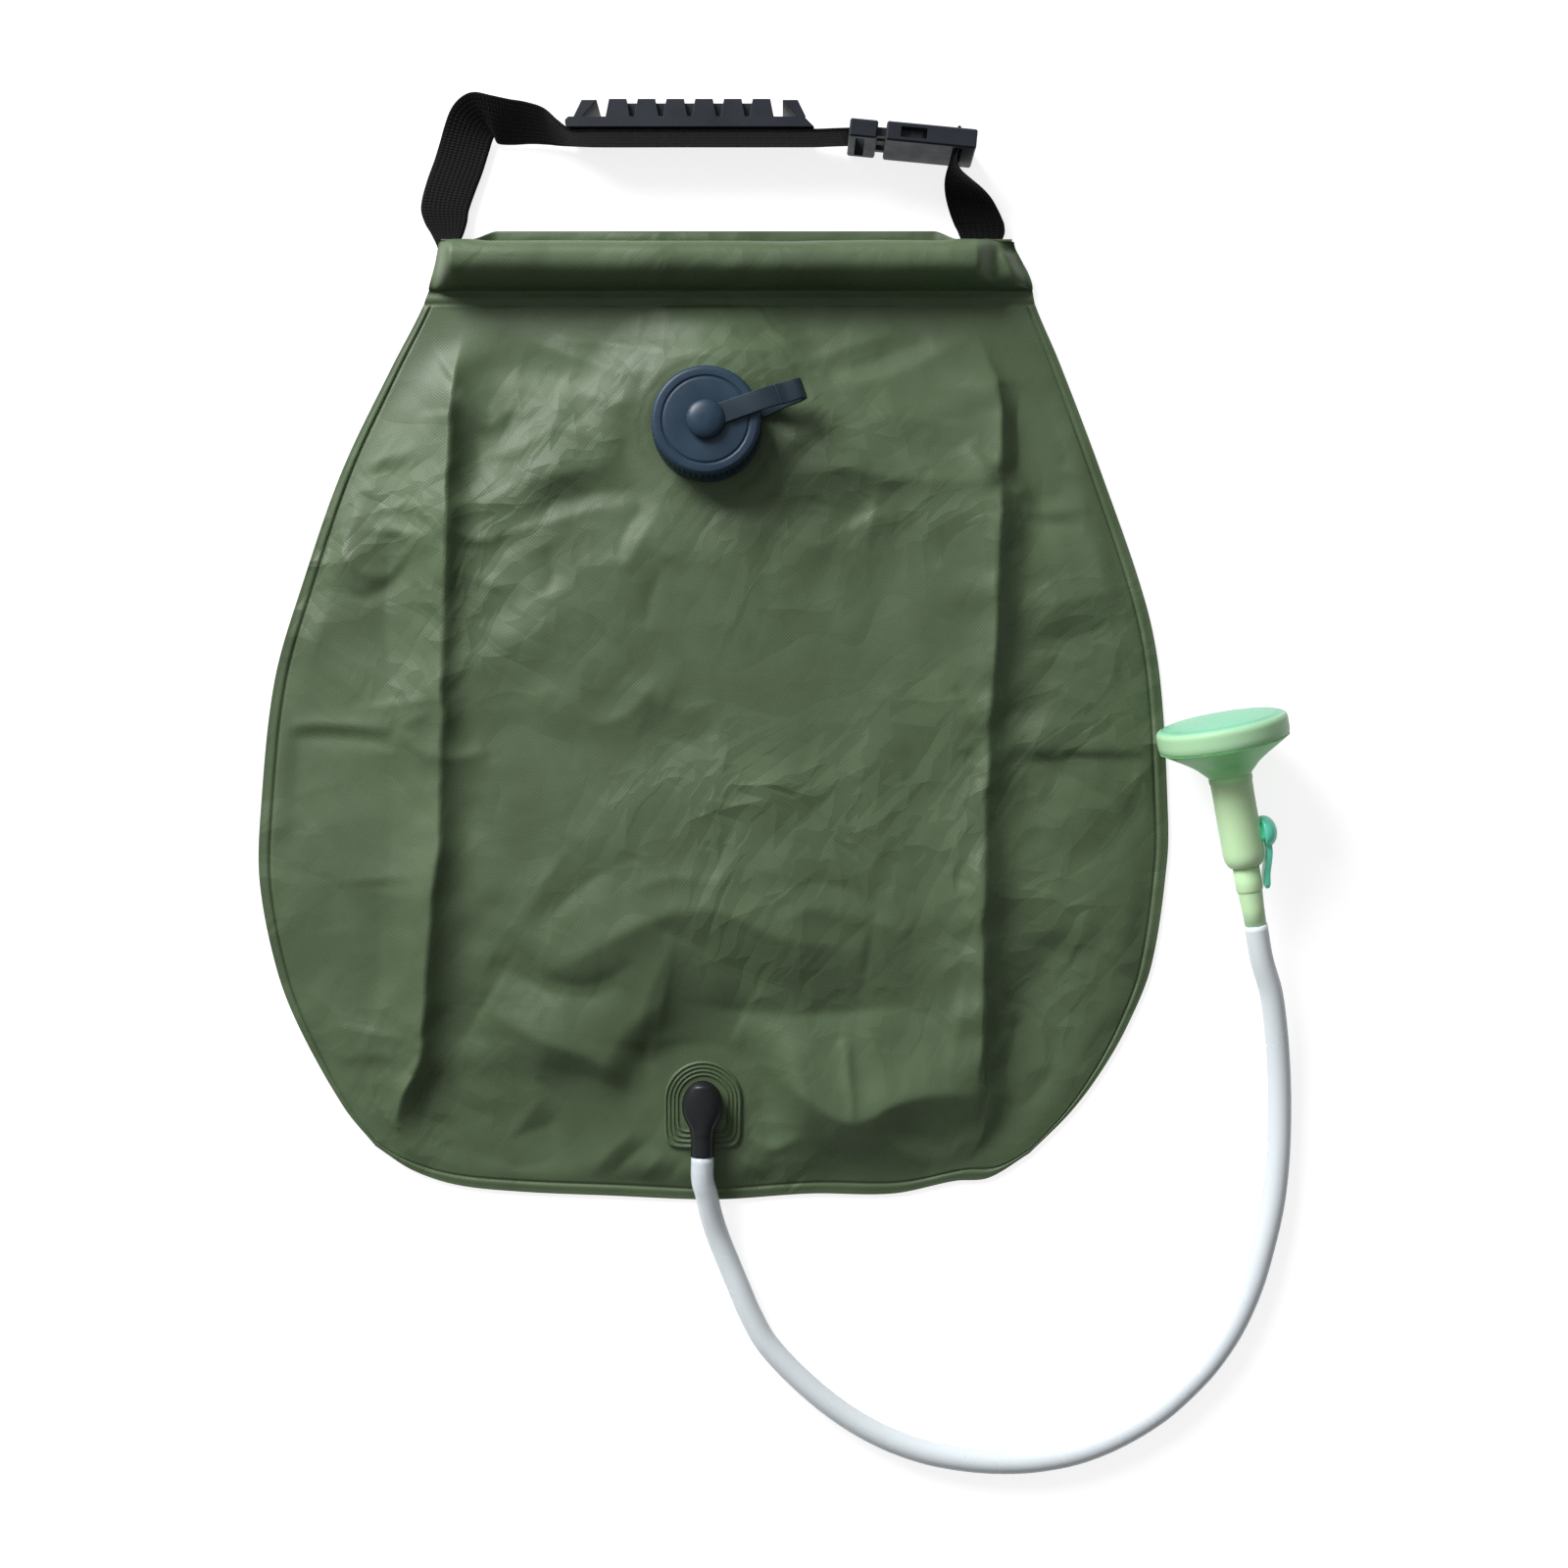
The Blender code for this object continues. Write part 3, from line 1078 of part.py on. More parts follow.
def make_hose():
    """The hose along its route, bored at both ends for the barbs that it is pushed onto."""
    facing = head_axes()[2]
    tail = head_origin() - facing * (TAIL_END + FIT)
    nozzle = Vector((OUTLET_X, NOZZLE_END - FIT, NOZZLE_Z))
    outward = Vector((0, -1, 0))
    route = [nozzle, nozzle + outward * HOSE_DIAMETER]
    stretch = (HEAD_X - OUTLET_X) / HOSE_SPAN
    route += [Vector((OUTLET_X + x * stretch, OUTLET_Y + y, z)) for x, y, z in HOSE_ROUTE]
    route += [tail - facing * HOSE_DIAMETER * 1.6, tail]
    points = even_points(route, HOSE_POINTS)
    hose = part("hose", tube_mesh("hose", points, HOSE_DIAMETER / 2), HOSE_WHITE, 0.25)
    bore = HOSE_BORE / 2
    inner_end = nozzle + outward * (BARB_IN_HOSE + FIT)
    first = rod_mesh("hose_mouth", bore, nozzle - outward * OVERRUN, inner_end, 16)
    cut(hose, tool("hose_mouth", first))
    last = rod_mesh("hose_end", bore, tail + facing * OVERRUN, tail - facing * (TAIL_BARB + FIT), 16)
    cut(hose, tool("hose_end", last))


def even_points(route, count):
    """Evenly spaced points on a smooth curve through the route's own points."""
    lengths = [0.0]
    for first, second in zip(route, route[1:]):
        lengths.append(lengths[-1] + (second - first).length)
    axes = [[(length, place[axis]) for length, place in zip(lengths, route)] for axis in range(3)]
    keys = [lengths[-1] * index / (count - 1) for index in range(count)]
    return [tuple(curve_at(axis, key) for axis in axes) for key in keys]


def leg_stations():
    """The left leg, flat to the surface: a rounded foot on the fold line, then up to the corner fold."""
    places = [
        Vector((LEFT_FOOT_X + x * HANDLE_RISE, rise * HANDLE_RISE, 0.0)) for x, rise, _ in LEG_SHARES
    ]
    up = Vector((0, 1, 0))
    half = WEBBING_THICKNESS / 2
    foot = places[0]
    stations = [
        (foot - up * half, up, Vector((1, 0, 0)), WEBBING * LEG_SHARES[0][2], WEBBING_THICKNESS * 0.3),
        (foot - up * half * 0.6, up, Vector((1, 0, 0)), WEBBING * LEG_SHARES[0][2], WEBBING_THICKNESS * 0.8),
    ]
    for index, place in enumerate(places):
        before, after = places[max(index - 1, 0)], places[min(index + 1, len(places) - 1)]
        along = up if index == 0 else (after - before).normalized()
        across = Vector((along.y, -along.x, 0))
        stations.append((place, along, across, WEBBING * LEG_SHARES[index][2], WEBBING_THICKNESS))
    return stations


def make_handle():
    """Webbing, grip and buckle, in the frame of the line where the webbing leaves the bag."""
    fold = frame("fold_line", (0.0, FOLD_Y, FOLD_Z))
    strap = part("handle_strap", ribbon_mesh("handle_strap", leg_stations()), WEBBING_BLACK, 0.9, fold)

    grip_z = GROUND_CLEARANCE + GRIP_WIDTH / 2 - FOLD_Z
    buckle_z = GROUND_CLEARANCE + BUCKLE_WIDTH / 2 - FOLD_Z
    grip_left, grip_right = GRIP_X - GRIP_LENGTH / 2, GRIP_X + GRIP_LENGTH / 2
    buckle_x = grip_right + BUCKLE_GAP_TO_GRIP
    top_x = LEFT_FOOT_X + LEG_SHARES[-4][0] * HANDLE_RISE
    top_y = HANDLE_RISE * 1.21
    ahead = Vector((1, 0, 0))
    run = []
    steps = 8
    for step in range(steps + 1):
        share = step / steps
        place = Vector((
            mix(top_x, grip_left, share), mix(top_y, HANDLE_RISE, share ** 2),
            mix(GROUND_CLEARANCE, grip_z, smooth(share, -0.6, 1.0)),
        ))
        lean = mix(RUN_LEAN, math.pi / 2, smooth(share, 0.2, 1.0))
        width = WEBBING * mix(0.84, 1.0, smooth(share, 0.0, 0.3))
        run.append((place, ahead, Vector((0, math.cos(lean), math.sin(lean))), width, WEBBING_THICKNESS))
    upright = Vector((0, 0, 1))
    run.append((Vector((grip_right, HANDLE_RISE, grip_z)), ahead, upright, WEBBING, WEBBING_THICKNESS))
    run.append((Vector((buckle_x - FIT, HANDLE_RISE, buckle_z)), ahead, upright, WEBBING, WEBBING_THICKNESS))
    join(strap, tool("handle_run", ribbon_mesh("handle_run", run), fold))

    make_grip(fold, grip_z)
    make_buckle(fold, buckle_x, buckle_z)


def grip_outline():
    """The grip's side: plate, end hooks and a row of blocks, worked along its upper edge."""
    half = GRIP_LENGTH / 2
    blocks_from = -BLOCK_PITCH * (BLOCK_COUNT - 1) / 2
    points = [(half, 0.0), (half - PLATE, PLATE)]
    inner_top, outer_top, outer_base, inner_base = [share * half for share in HOOK_SHARES]
    points += [
        (outer_base, PLATE), (outer_top, PLATE + HOOK_HEIGHT),
        (inner_top, PLATE + HOOK_HEIGHT), (inner_base, PLATE),
    ]
    for index in reversed(range(BLOCK_COUNT)):
        middle = blocks_from + BLOCK_PITCH * index
        points += [
            (middle + BLOCK_BASE / 2, PLATE), (middle + BLOCK_TOP / 2, PLATE + BLOCK_HEIGHT),
            (middle - BLOCK_TOP / 2, PLATE + BLOCK_HEIGHT), (middle - BLOCK_BASE / 2, PLATE),
        ]
    points += [
        (-inner_base, PLATE), (-inner_top, PLATE + HOOK_HEIGHT),
        (-outer_top, PLATE + HOOK_HEIGHT), (-outer_base, PLATE),
    ]
    points += [(-half + PLATE * 0.3, PLATE), (-half, PLATE * 0.7)]
    points += [(-half, PLATE * 0.3), (-half + PLATE * 0.3, 0.0)]
    return points


def make_grip(fold, grip_z):
    base = HANDLE_RISE + WEBBING_THICKNESS / 2 + FIT
    carrier = frame("grip_place", (0.0, 0.0, 0.0))
    carrier.parent = fold
    carrier.location = (GRIP_X, base, grip_z)
    mesh = outline_mesh("grip", grip_outline(), -GRIP_WIDTH / 2, GRIP_WIDTH / 2)
    grip = part("grip", mesh, GRIP_GREY, 0.5, carrier)
    reach = BLOCK_PITCH * (BLOCK_COUNT - 1) / 2
    spine = box_mesh(
        "grip_spine", (-reach, PLATE * 0.5, -SPINE_WIDTH / 2),
        (reach, PLATE + BLOCK_HEIGHT * 0.9, SPINE_WIDTH / 2),
    )
    join(grip, tool("grip_spine", spine, carrier))


def make_buckle(fold, buckle_x, buckle_z):
    """Plug with two prongs and a guide, socket with its side windows, and the right-hand webbing."""
    carrier = frame("buckle_place", (0.0, 0.0, 0.0))
    carrier.parent = fold
    carrier.location = (buckle_x, HANDLE_RISE, buckle_z)
    carrier.rotation_euler = (0, 0, BUCKLE_TURN)
    bpy.context.view_layer.update()
    wide, thick = BUCKLE_WIDTH / 2, PLUG_THICKNESS / 2
    mesh = box_mesh("buckle_plug", (0, -thick, -wide), (PLUG_LENGTH, thick, wide))
    plug = part("buckle_plug", mesh, GRIP_GREY, 0.45, carrier)
    round_edges(plug, BUCKLE_EDGE)
    slot_wide = WEBBING / 2 + BUCKLE_RUNNING
    slot_start = PLUG_LENGTH * 0.25
    slot = box_mesh(
        "plug_slot", (slot_start, -thick - OVERRUN, -slot_wide),
        (slot_start + BUCKLE_SLOT, thick + OVERRUN, slot_wide),
    )
    cut(plug, tool("plug_slot", slot, carrier))
    cavity_wide = wide - SOCKET_WALL
    prong_out = cavity_wide - BUCKLE_RUNNING
    prong_deep = PRONG_THICKNESS / 2
    root = PLUG_LENGTH - BUCKLE_EDGE * 2
    reach = PLUG_LENGTH + PRONG_LENGTH
    for side, name in ((1, "upper"), (-1, "lower")):
        outer = (prong_out - BARB_STEP) * side
        inner = (prong_out - BARB_STEP - PRONG_WIDTH) * side
        low, high = min(outer, inner), max(outer, inner)
        stem = box_mesh("prong_" + name, (root, -prong_deep, low), (reach, prong_deep, high))
        join(plug, tool("prong_" + name, stem, carrier))
        low, high = min(prong_out * side, inner), max(prong_out * side, inner)
        barb = box_mesh(
            "barb_" + name, (reach - PRONG_LENGTH * 0.28, -prong_deep * 0.98, low),
            (reach - PRONG_LENGTH * 0.02, prong_deep * 0.98, high),
        )
        join(plug, tool("barb_" + name, barb, carrier))
    guide = box_mesh(
        "plug_guide", (root, -prong_deep * 0.7, -GUIDE_WIDTH / 2),
        (PLUG_LENGTH + PRONG_LENGTH * 0.7, prong_deep * 0.7, GUIDE_WIDTH / 2),
    )
    join(plug, tool("plug_guide", guide, carrier))

    mouth = PLUG_LENGTH + PLUG_GAP
    end = mouth + SOCKET_LENGTH
    thick = SOCKET_THICKNESS / 2
    mesh = box_mesh("buckle_socket", (mouth, -thick, -wide), (end, thick, wide))
    socket = part("buckle_socket", mesh, GRIP_GREY, 0.45, carrier)
    round_edges(socket, BUCKLE_EDGE)
    deep = prong_deep + BUCKLE_RUNNING
    cavity_end = reach + 4 * BUCKLE_RUNNING
    cavity = box_mesh(
        "socket_cavity", (mouth - OVERRUN, -deep, -cavity_wide), (cavity_end, deep, cavity_wide),
    )
    cut(socket, tool("socket_cavity", cavity, carrier))
    window_start = reach - PRONG_LENGTH * 0.5
    window = box_mesh(
        "socket_window", (window_start, -deep * 0.98, -wide - OVERRUN),
        (cavity_end - BUCKLE_RUNNING, deep * 0.98, wide + OVERRUN),
    )
    cut(socket, tool("socket_window", window, carrier))
    slot_middle = end - SLOT_FROM_END
    slot = box_mesh(
        "socket_slot", (slot_middle - BUCKLE_SLOT / 2, -thick - OVERRUN, -slot_wide),
        (slot_middle + BUCKLE_SLOT / 2, thick + OVERRUN, slot_wide),
    )
    cut(socket, tool("socket_slot", slot, carrier))
    make_right_strap(fold, carrier, slot_middle, thick)


def make_right_strap(fold, buckle, slot_middle, thick):
    """Webbing through the socket's slot and down to the right corner, in two runs."""
    to_fold = fold.matrix_world.inverted() @ buckle.matrix_world
    turn = to_fold.to_3x3()
    ahead, upright = turn @ Vector((1, 0, 0)), Vector((0, 0, 1))
    down = turn @ Vector((0, -1, 0))
    start = to_fold @ Vector((slot_middle, thick + WEBBING_THICKNESS, 0))
    leave = to_fold @ Vector((slot_middle, -thick - WEBBING_THICKNESS / 2, 0))
    foot = Vector((RIGHT_FOOT_X, 0.0, 0.0))

    def station(share):
        place = Vector((mix(foot.x, leave.x, share), leave.y * share, leave.z * share ** 2.5))
        lean = math.pi / 2 * share ** 3
        across = Vector((math.cos(lean), 0, math.sin(lean)))
        return place, across

    split = 0.54
    place, across = station(split)
    across = Vector((ahead.x * across.x, ahead.y * across.x, across.z))
    upper = [
        (start, down, upright, WEBBING, WEBBING_THICKNESS),
        (leave, down, upright, WEBBING, WEBBING_THICKNESS),
    ]
    middle, over = station(0.78)
    upper.append((middle, down, over, WEBBING, WEBBING_THICKNESS))
    upper.append((place, down, across, WEBBING, WEBBING_THICKNESS))
    part("strap_right_upper", ribbon_mesh("strap_right_upper", upper), WEBBING_BLACK, 0.9, fold)

    lower = [(place + down * FIT, down, across, WEBBING, WEBBING_THICKNESS)]
    back = Vector((0, -1, 0))
    for share in (0.32, 0.12):
        middle, over = station(share)
        lower.append((middle, back, over, WEBBING, WEBBING_THICKNESS))
    side = Vector((1, 0, 0))
    half = WEBBING_THICKNESS / 2
    lower.append((foot, back, side, WEBBING, WEBBING_THICKNESS))
    lower.append((foot + back * half * 0.6, back, side, WEBBING, WEBBING_THICKNESS * 0.8))
    lower.append((foot + back * half, back, side, WEBBING, WEBBING_THICKNESS * 0.3))
    part("strap_right_lower", ribbon_mesh("strap_right_lower", lower), WEBBING_BLACK, 0.9, fold)


make_sheets()
make_spreader()
make_filler()
make_outlet()
make_hose()
make_head()
make_handle()
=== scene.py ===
"""Camp shower bag on its back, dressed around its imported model.

Every size is in metres, in the model's own frame: +Z up, +Y towards the carrying handle.
The sections follow the order in which the bag is put together.
"""

import math

import bmesh
import bpy
import numpy as np
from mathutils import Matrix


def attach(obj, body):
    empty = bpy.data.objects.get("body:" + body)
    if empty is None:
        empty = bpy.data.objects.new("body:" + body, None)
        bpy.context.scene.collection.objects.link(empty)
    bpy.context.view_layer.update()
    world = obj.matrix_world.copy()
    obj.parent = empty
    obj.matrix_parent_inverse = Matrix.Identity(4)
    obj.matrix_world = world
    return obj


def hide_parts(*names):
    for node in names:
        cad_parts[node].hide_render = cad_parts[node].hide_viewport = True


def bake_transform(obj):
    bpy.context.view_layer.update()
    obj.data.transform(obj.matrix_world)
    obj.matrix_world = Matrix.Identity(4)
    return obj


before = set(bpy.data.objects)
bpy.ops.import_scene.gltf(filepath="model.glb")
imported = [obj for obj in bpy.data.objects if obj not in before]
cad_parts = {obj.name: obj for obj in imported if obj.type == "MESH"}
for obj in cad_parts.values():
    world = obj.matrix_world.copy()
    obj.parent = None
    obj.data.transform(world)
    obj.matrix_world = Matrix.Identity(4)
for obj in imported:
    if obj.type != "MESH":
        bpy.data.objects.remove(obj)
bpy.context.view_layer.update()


# View
# The camera hangs a metre above the surface that the bag lies on and looks straight down,
# a little to the right of the bag, so that the hose and the shower head are in the picture.
CAMERA_AT, CAMERA_LENS = (0.036, -0.035, 1.0), 45
view = bpy.data.cameras.new("camera")
view.lens = CAMERA_LENS
camera = bpy.data.objects.new("camera", view)
camera.location = CAMERA_AT
bpy.context.collection.objects.link(camera)
bpy.context.scene.camera = camera


# Hose
# Soft PVC tubing, milky and see-through, pushed over a barb at each end. It leaves the elbow
# towards the bag's bottom edge, drops to the ground and comes round in one wide loop.
HOSE_DIAMETER = 0.0115
HOSE_BORE = 0.0085
HOSE_SIDES = 40
HOSE_RINGS = 220
TAIL_REACH = 0.1051
TAIL_PUSH = 0.0184
STRETCHED_CLEAR, LOOSE_CLEAR = 0.30, 0.10
BARB_END = (0.011, 0.016)
HOSE_LYING = 0.0058
HOSE_START = (-0.005, -0.2226, 0.0142)
HOSE_DROP = [
    (-0.0050, -0.2341, 0.0142), (-0.0030, -0.2420, 0.0122),
    (-0.0010, -0.2520, 0.0096), (0.0025, -0.2640, 0.0070),
]
HOSE_LOOP = [(x, y, HOSE_LYING) for x, y in (
    (0.0080, -0.2780), (0.0130, -0.2900), (0.0190, -0.3040), (0.0275, -0.3190), (0.0460, -0.3385),
    (0.0660, -0.3545), (0.0860, -0.3660), (0.1060, -0.3735), (0.1260, -0.3775), (0.1460, -0.3790),
    (0.1650, -0.3780), (0.1850, -0.3740), (0.2050, -0.3660), (0.2250, -0.3540), (0.2400, -0.3410),
    (0.2520, -0.3280), (0.2640, -0.3100), (0.2730, -0.2900), (0.2790, -0.2700), (0.2840, -0.2480),
)]
HOSE_RISE = [
    (0.2865, -0.2260, 0.0060), (0.2872, -0.2030, 0.0066), (0.2865, -0.1820, 0.0082),
    (0.2845, -0.1610, 0.0108), (0.2810, -0.1400, 0.0142),
]
HEAD_LEAN = math.radians(11.5)
HEAD_PITCH = math.radians(7.5)
HEAD_FACE = np.array((0.2512, -0.0033, 0.03344))
HEAD_RIGHT = np.array((math.cos(HEAD_LEAN), math.sin(HEAD_LEAN), 0.0))
HEAD_FACING = np.array((
    -math.sin(HEAD_LEAN) * math.cos(HEAD_PITCH),
    math.cos(HEAD_LEAN) * math.cos(HEAD_PITCH),
    math.sin(HEAD_PITCH),
))
HEAD_DOWN = np.cross(HEAD_FACING, HEAD_RIGHT)
HOSE_END = HEAD_FACE - HEAD_FACING * TAIL_REACH


def smooth_between(keys, values, at):
    """A smooth curve through the values at rising keys, read at the wanted places.

    On each span it is the cubic whose slope at either end is that of the straight line
    between the neighbours on both sides of that end.
    """
    keys, values, at = (np.asarray(numbers, float) for numbers in (keys, values, at))
    before = np.maximum(np.arange(len(keys)) - 1, 0)
    after = np.minimum(np.arange(len(keys)) + 1, len(keys) - 1)
    columns = (-1,) + (1,) * (values.ndim - 1)
    slopes = (values[after] - values[before]) / (keys[after] - keys[before]).reshape(columns)
    span = np.clip(np.searchsorted(keys, at, side="right") - 1, 0, len(keys) - 2)
    length = keys[span + 1] - keys[span]
    share = (at - keys[span]) / length
    if values.ndim > 1:
        length, share = length[..., None], share[..., None]
    return (
        values[span] * (1 + 2 * share) * (1 - share) ** 2
        + slopes[span] * length * share * (1 - share) ** 2
        + values[span + 1] * share ** 2 * (3 - 2 * share)
        - slopes[span + 1] * length * share ** 2 * (1 - share)
    )


def along_stations(stations, count):
    """Evenly spaced rows of a table whose first three columns are places along a piece.

    The key of each row is the distance walked from the first place to it.
    """
    table = np.asarray(stations, float)
    steps = np.linalg.norm(np.diff(table[:, :3], axis=0), axis=1)
    keys = np.concatenate(([0.0], np.cumsum(steps)))
    return smooth_between(keys, table, np.linspace(0.0, keys[-1], count))


def unit(vectors):
    """Each vector divided by its own length."""
    vectors = np.asarray(vectors, float)
    return vectors / np.linalg.norm(vectors, axis=-1, keepdims=True)


def surface(name, grid, around=False, along=False, ends=False, facing=None):
    """A mesh over a grid of points: its rows run along the piece, its columns across or around it.

    Each face joins four neighbouring points. Columns close around a tube, rows close along a ring,
    and an end is one flat face over a whole row. Faces are turned so that the flux of the places
    through them is outward, seen from the middle, or from far behind where a facing is given.
    The UV map is the distance walked around and along the piece, in metres.
    """
    rows, columns = grid.shape[:2]
    row = np.arange(rows if along else rows - 1)[:, None]
    column = np.arange(columns if around else columns - 1)[None, :]
    corners = [(row, column), (row, column + 1), (row + 1, column + 1), (row + 1, column)]
    faces = np.stack([(i % rows) * columns + j % columns for i, j in corners], axis=-1).reshape(-1, 4)
    points = grid.reshape(-1, 3)
    middle = points.mean(axis=0) - (0 if facing is None else np.asarray(facing, float))
    first, second, third, fourth = (points[faces[:, k]] - middle for k in range(4))
    flux = np.sum((first + second + third + fourth) * np.cross(third - first, fourth - second))
    wider = np.concatenate((grid, grid[:, :1]), axis=1)
    longer = np.concatenate((grid, grid[:1]), axis=0)
    across = np.linalg.norm(np.diff(wider, axis=1), axis=2).mean(axis=0)
    down = np.linalg.norm(np.diff(longer, axis=0), axis=2).mean(axis=1)
    u = np.concatenate(([0.0], np.cumsum(across)))
    v = np.concatenate(([0.0], np.cumsum(down)))
    maps = np.stack([np.stack(np.broadcast_arrays(u[j], v[i]), axis=-1) for i, j in corners], axis=2)
    maps = maps.reshape(-1, 4, 2)
    if flux < 0:
        faces, maps = faces[:, ::-1], maps[:, ::-1]
    lists, map_rows = faces.tolist(), [maps.reshape(-1, 2)]
    if ends:
        ring = np.arange(columns)
        caps = [ring[::-1], ring + (rows - 1) * columns]
        caps = caps if flux >= 0 else [cap[::-1] for cap in caps]
        lists += [cap.tolist() for cap in caps]
        map_rows += [points[cap][:, :2] for cap in caps]
    mesh = bpy.data.meshes.new(name)
    mesh.from_pydata(points.tolist(), [], lists)
    mesh.uv_layers.new(name="walked").data.foreach_set("uv", np.concatenate(map_rows).ravel())
    mesh.polygons.foreach_set("use_smooth", np.ones(len(mesh.polygons), bool))
    piece = bpy.data.objects.new(name, mesh)
    bpy.context.collection.objects.link(piece)
    return piece


def full_turn(count):
    """Evenly spaced angles, once round."""
    return np.linspace(0, 2 * math.pi, count, endpoint=False)


def tube_rings(path, radius, sides):
    """Circles round the points of a path, square to it, each starting level with the ground.

    A circle's place is the path's point plus the radius times cosine along its level side
    and sine along its upper side.
    """
    ahead = unit(np.gradient(path, axis=0))
    level = unit(np.cross(ahead, (0.0, 0.0, 1.0)))
    upper = np.cross(level, ahead)
    turn = full_turn(sides)[None, :, None]
    radius = np.broadcast_to(np.asarray(radius, float), (len(path),))[:, None, None]
    return path[:, None] + radius * (np.cos(turn) * level[:, None] + np.sin(turn) * upper[:, None])


def finish(name, colour, roughness, **sockets):
    """A plain finish to build on, with its node tree and its shader."""
    material = bpy.data.materials.new(name)
    material.use_nodes = True
    tree = material.node_tree
    shader = tree.nodes["Principled BSDF"]
    shader.inputs["Base Color"].default_value = (*colour, 1)
    shader.inputs["Roughness"].default_value = roughness
    for socket, value in sockets.items():
        shader.inputs[socket.replace("_", " ")].default_value = value
    return material, tree, shader


def node(tree, kind, output=0, settings=(), **sockets):
    """A node of a finish, with its settings made and its sockets filled or joined. Gives its output.

    A socket is named with underscores for spaces, or by i and its number.
    """
    made = tree.nodes.new("ShaderNode" + kind)
    for setting, value in dict(settings).items():
        setattr(made, setting, value)
    for socket, value in sockets.items():
        numbered = socket[0] == "i" and socket[1:].isdigit()
        place = made.inputs[int(socket[1:]) if numbered else socket.replace("_", " ")]
        if isinstance(value, bpy.types.NodeSocket):
            tree.links.new(value, place)
        else:
            place.default_value = value
    return made.outputs[output]


def noise(tree, place, scale, detail, roughness=0.5, output=0):
    """Cloudy noise over a finish: so many cells a metre, with finer and weaker layers added."""
    return node(
        tree, "TexNoise", output=output, Vector=place, Scale=scale, Detail=detail, Roughness=roughness,
    )


def measured(tree, operation, first, second):
    """The distance or the dot product of two places or directions of a finish."""
    return node(tree, "VectorMath", output=1, settings={"operation": operation}, i0=first, i1=second)


def ranged(tree, value, low, high, start=0.0, end=1.0):
    """A value of a finish, carried from the range between start and end to that between low and high."""
    return node(tree, "MapRange", Value=value, i1=start, i2=end, i3=low, i4=high)


def bumped(tree, shader, height, distance, strength=1.0):
    """Gives a shader relief from a height between 0 and 1, raised by this distance, over any it has."""
    relief = node(tree, "Bump", Strength=strength, Distance=distance, Height=height)
    if shader.inputs["Normal"].is_linked:
        tree.links.new(shader.inputs["Normal"].links[0].from_socket, relief.node.inputs["Normal"])
    tree.links.new(relief, shader.inputs["Normal"])


def dress(piece, material, body, slot, *nodes):
    """Finishes a piece, puts it on its body and lets it stand for its solids.

    A piece that bends between two bodies is given no body here.
    """
    piece.data.materials.append(material)
    if body is not None:
        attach(piece, body)
    if nodes:
        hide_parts(*nodes)


def clear_hose():
    """Milky tubing: soft body with a smooth skin and faint haze, clearer where the barb stretches it."""
    material, tree, shader = finish(
        "clear_hose", (0.87, 0.95, 1.0), 0.25, Transmission_Weight=0.12, IOR=1.42,
        Subsurface_Weight=0.15, Subsurface_Radius=(0.9, 1.0, 1.0), Subsurface_Scale=0.006,
    )
    place = node(tree, "TexCoord", output=3)
    haze = noise(tree, place, 70.0, 3.0)
    tree.links.new(ranged(tree, haze, 0.16, 0.34), shader.inputs["Roughness"])
    from_elbow = measured(tree, "DISTANCE", place, HOSE_START)
    clear = ranged(tree, from_elbow, STRETCHED_CLEAR, LOOSE_CLEAR, *BARB_END)
    tree.links.new(clear, shader.inputs["Transmission Weight"])
    bumped(tree, shader, haze, 0.0002, 0.3)
    return material


hose_route = [HOSE_START, *HOSE_DROP, *HOSE_LOOP, *HOSE_RISE, HOSE_END - HEAD_FACING * TAIL_PUSH, HOSE_END]
hose_path = along_stations(hose_route, HOSE_RINGS)
outer_wall = tube_rings(hose_path, HOSE_DIAMETER / 2, HOSE_SIDES)
inner_wall = tube_rings(hose_path, HOSE_BORE / 2, HOSE_SIDES)
hose = surface("hose_tube", np.concatenate((outer_wall, inner_wall[::-1])), around=True, along=True)
dress(hose, clear_hose(), "bag", "hose_clear", "hose")


# Back sheet
# PVC-coated cloth with a fine diagonal scrim, cut to the bag's outline. It lies flat on the
# ground, and its edge is welded to the front sheet's.
BAG_WIDTH = 0.463
BAG_LENGTH = 0.493
SHEET = 0.0008
WELD_LEVEL = SHEET + 0.0003
SLEEVE_Y = 0.228
SLEEVE_HALF = 0.012
BLADDER_TOP = 0.2075
CORNER_DROP = 0.006
HALF_WIDTH, HALF_LENGTH = BAG_WIDTH / 2, BAG_LENGTH / 2
SLEEVE_MIDDLE = 0.001
CORNER_START, CORNER_FULL = 0.1118, 0.1245
BACK_COLUMNS, BACK_ROWS, BAND_ROWS = 150, 130, 14
CLOTH_GREEN = (0.082, 0.123, 0.061)
SCRIM_SLANT = math.radians(38)
FACET_BEND = 0.07
LEFT_SIDE = [
    (-0.743, -0.890), (-0.812, -0.811), (-0.911, -0.645), (-0.961, -0.523), (-0.998, -0.345),
    (-0.996, -0.199), (-0.965, 0.073), (-0.901, 0.280), (-0.816, 0.507), (-0.708, 0.718),
    (-0.644, 0.834), (-0.620, 0.895), (-0.600, 0.966), (-0.590, 1.0),
]
RIGHT_SIDE = [
    (0.695, -0.905), (0.784, -0.822), (0.849, -0.742), (0.909, -0.645), (0.963, -0.519),
    (0.998, -0.304), (1.0, -0.199), (0.983, 0.073), (0.950, 0.235), (0.851, 0.507),
    (0.760, 0.732), (0.708, 0.848), (0.698, 0.895), (0.661, 0.966), (0.650, 1.0),
]
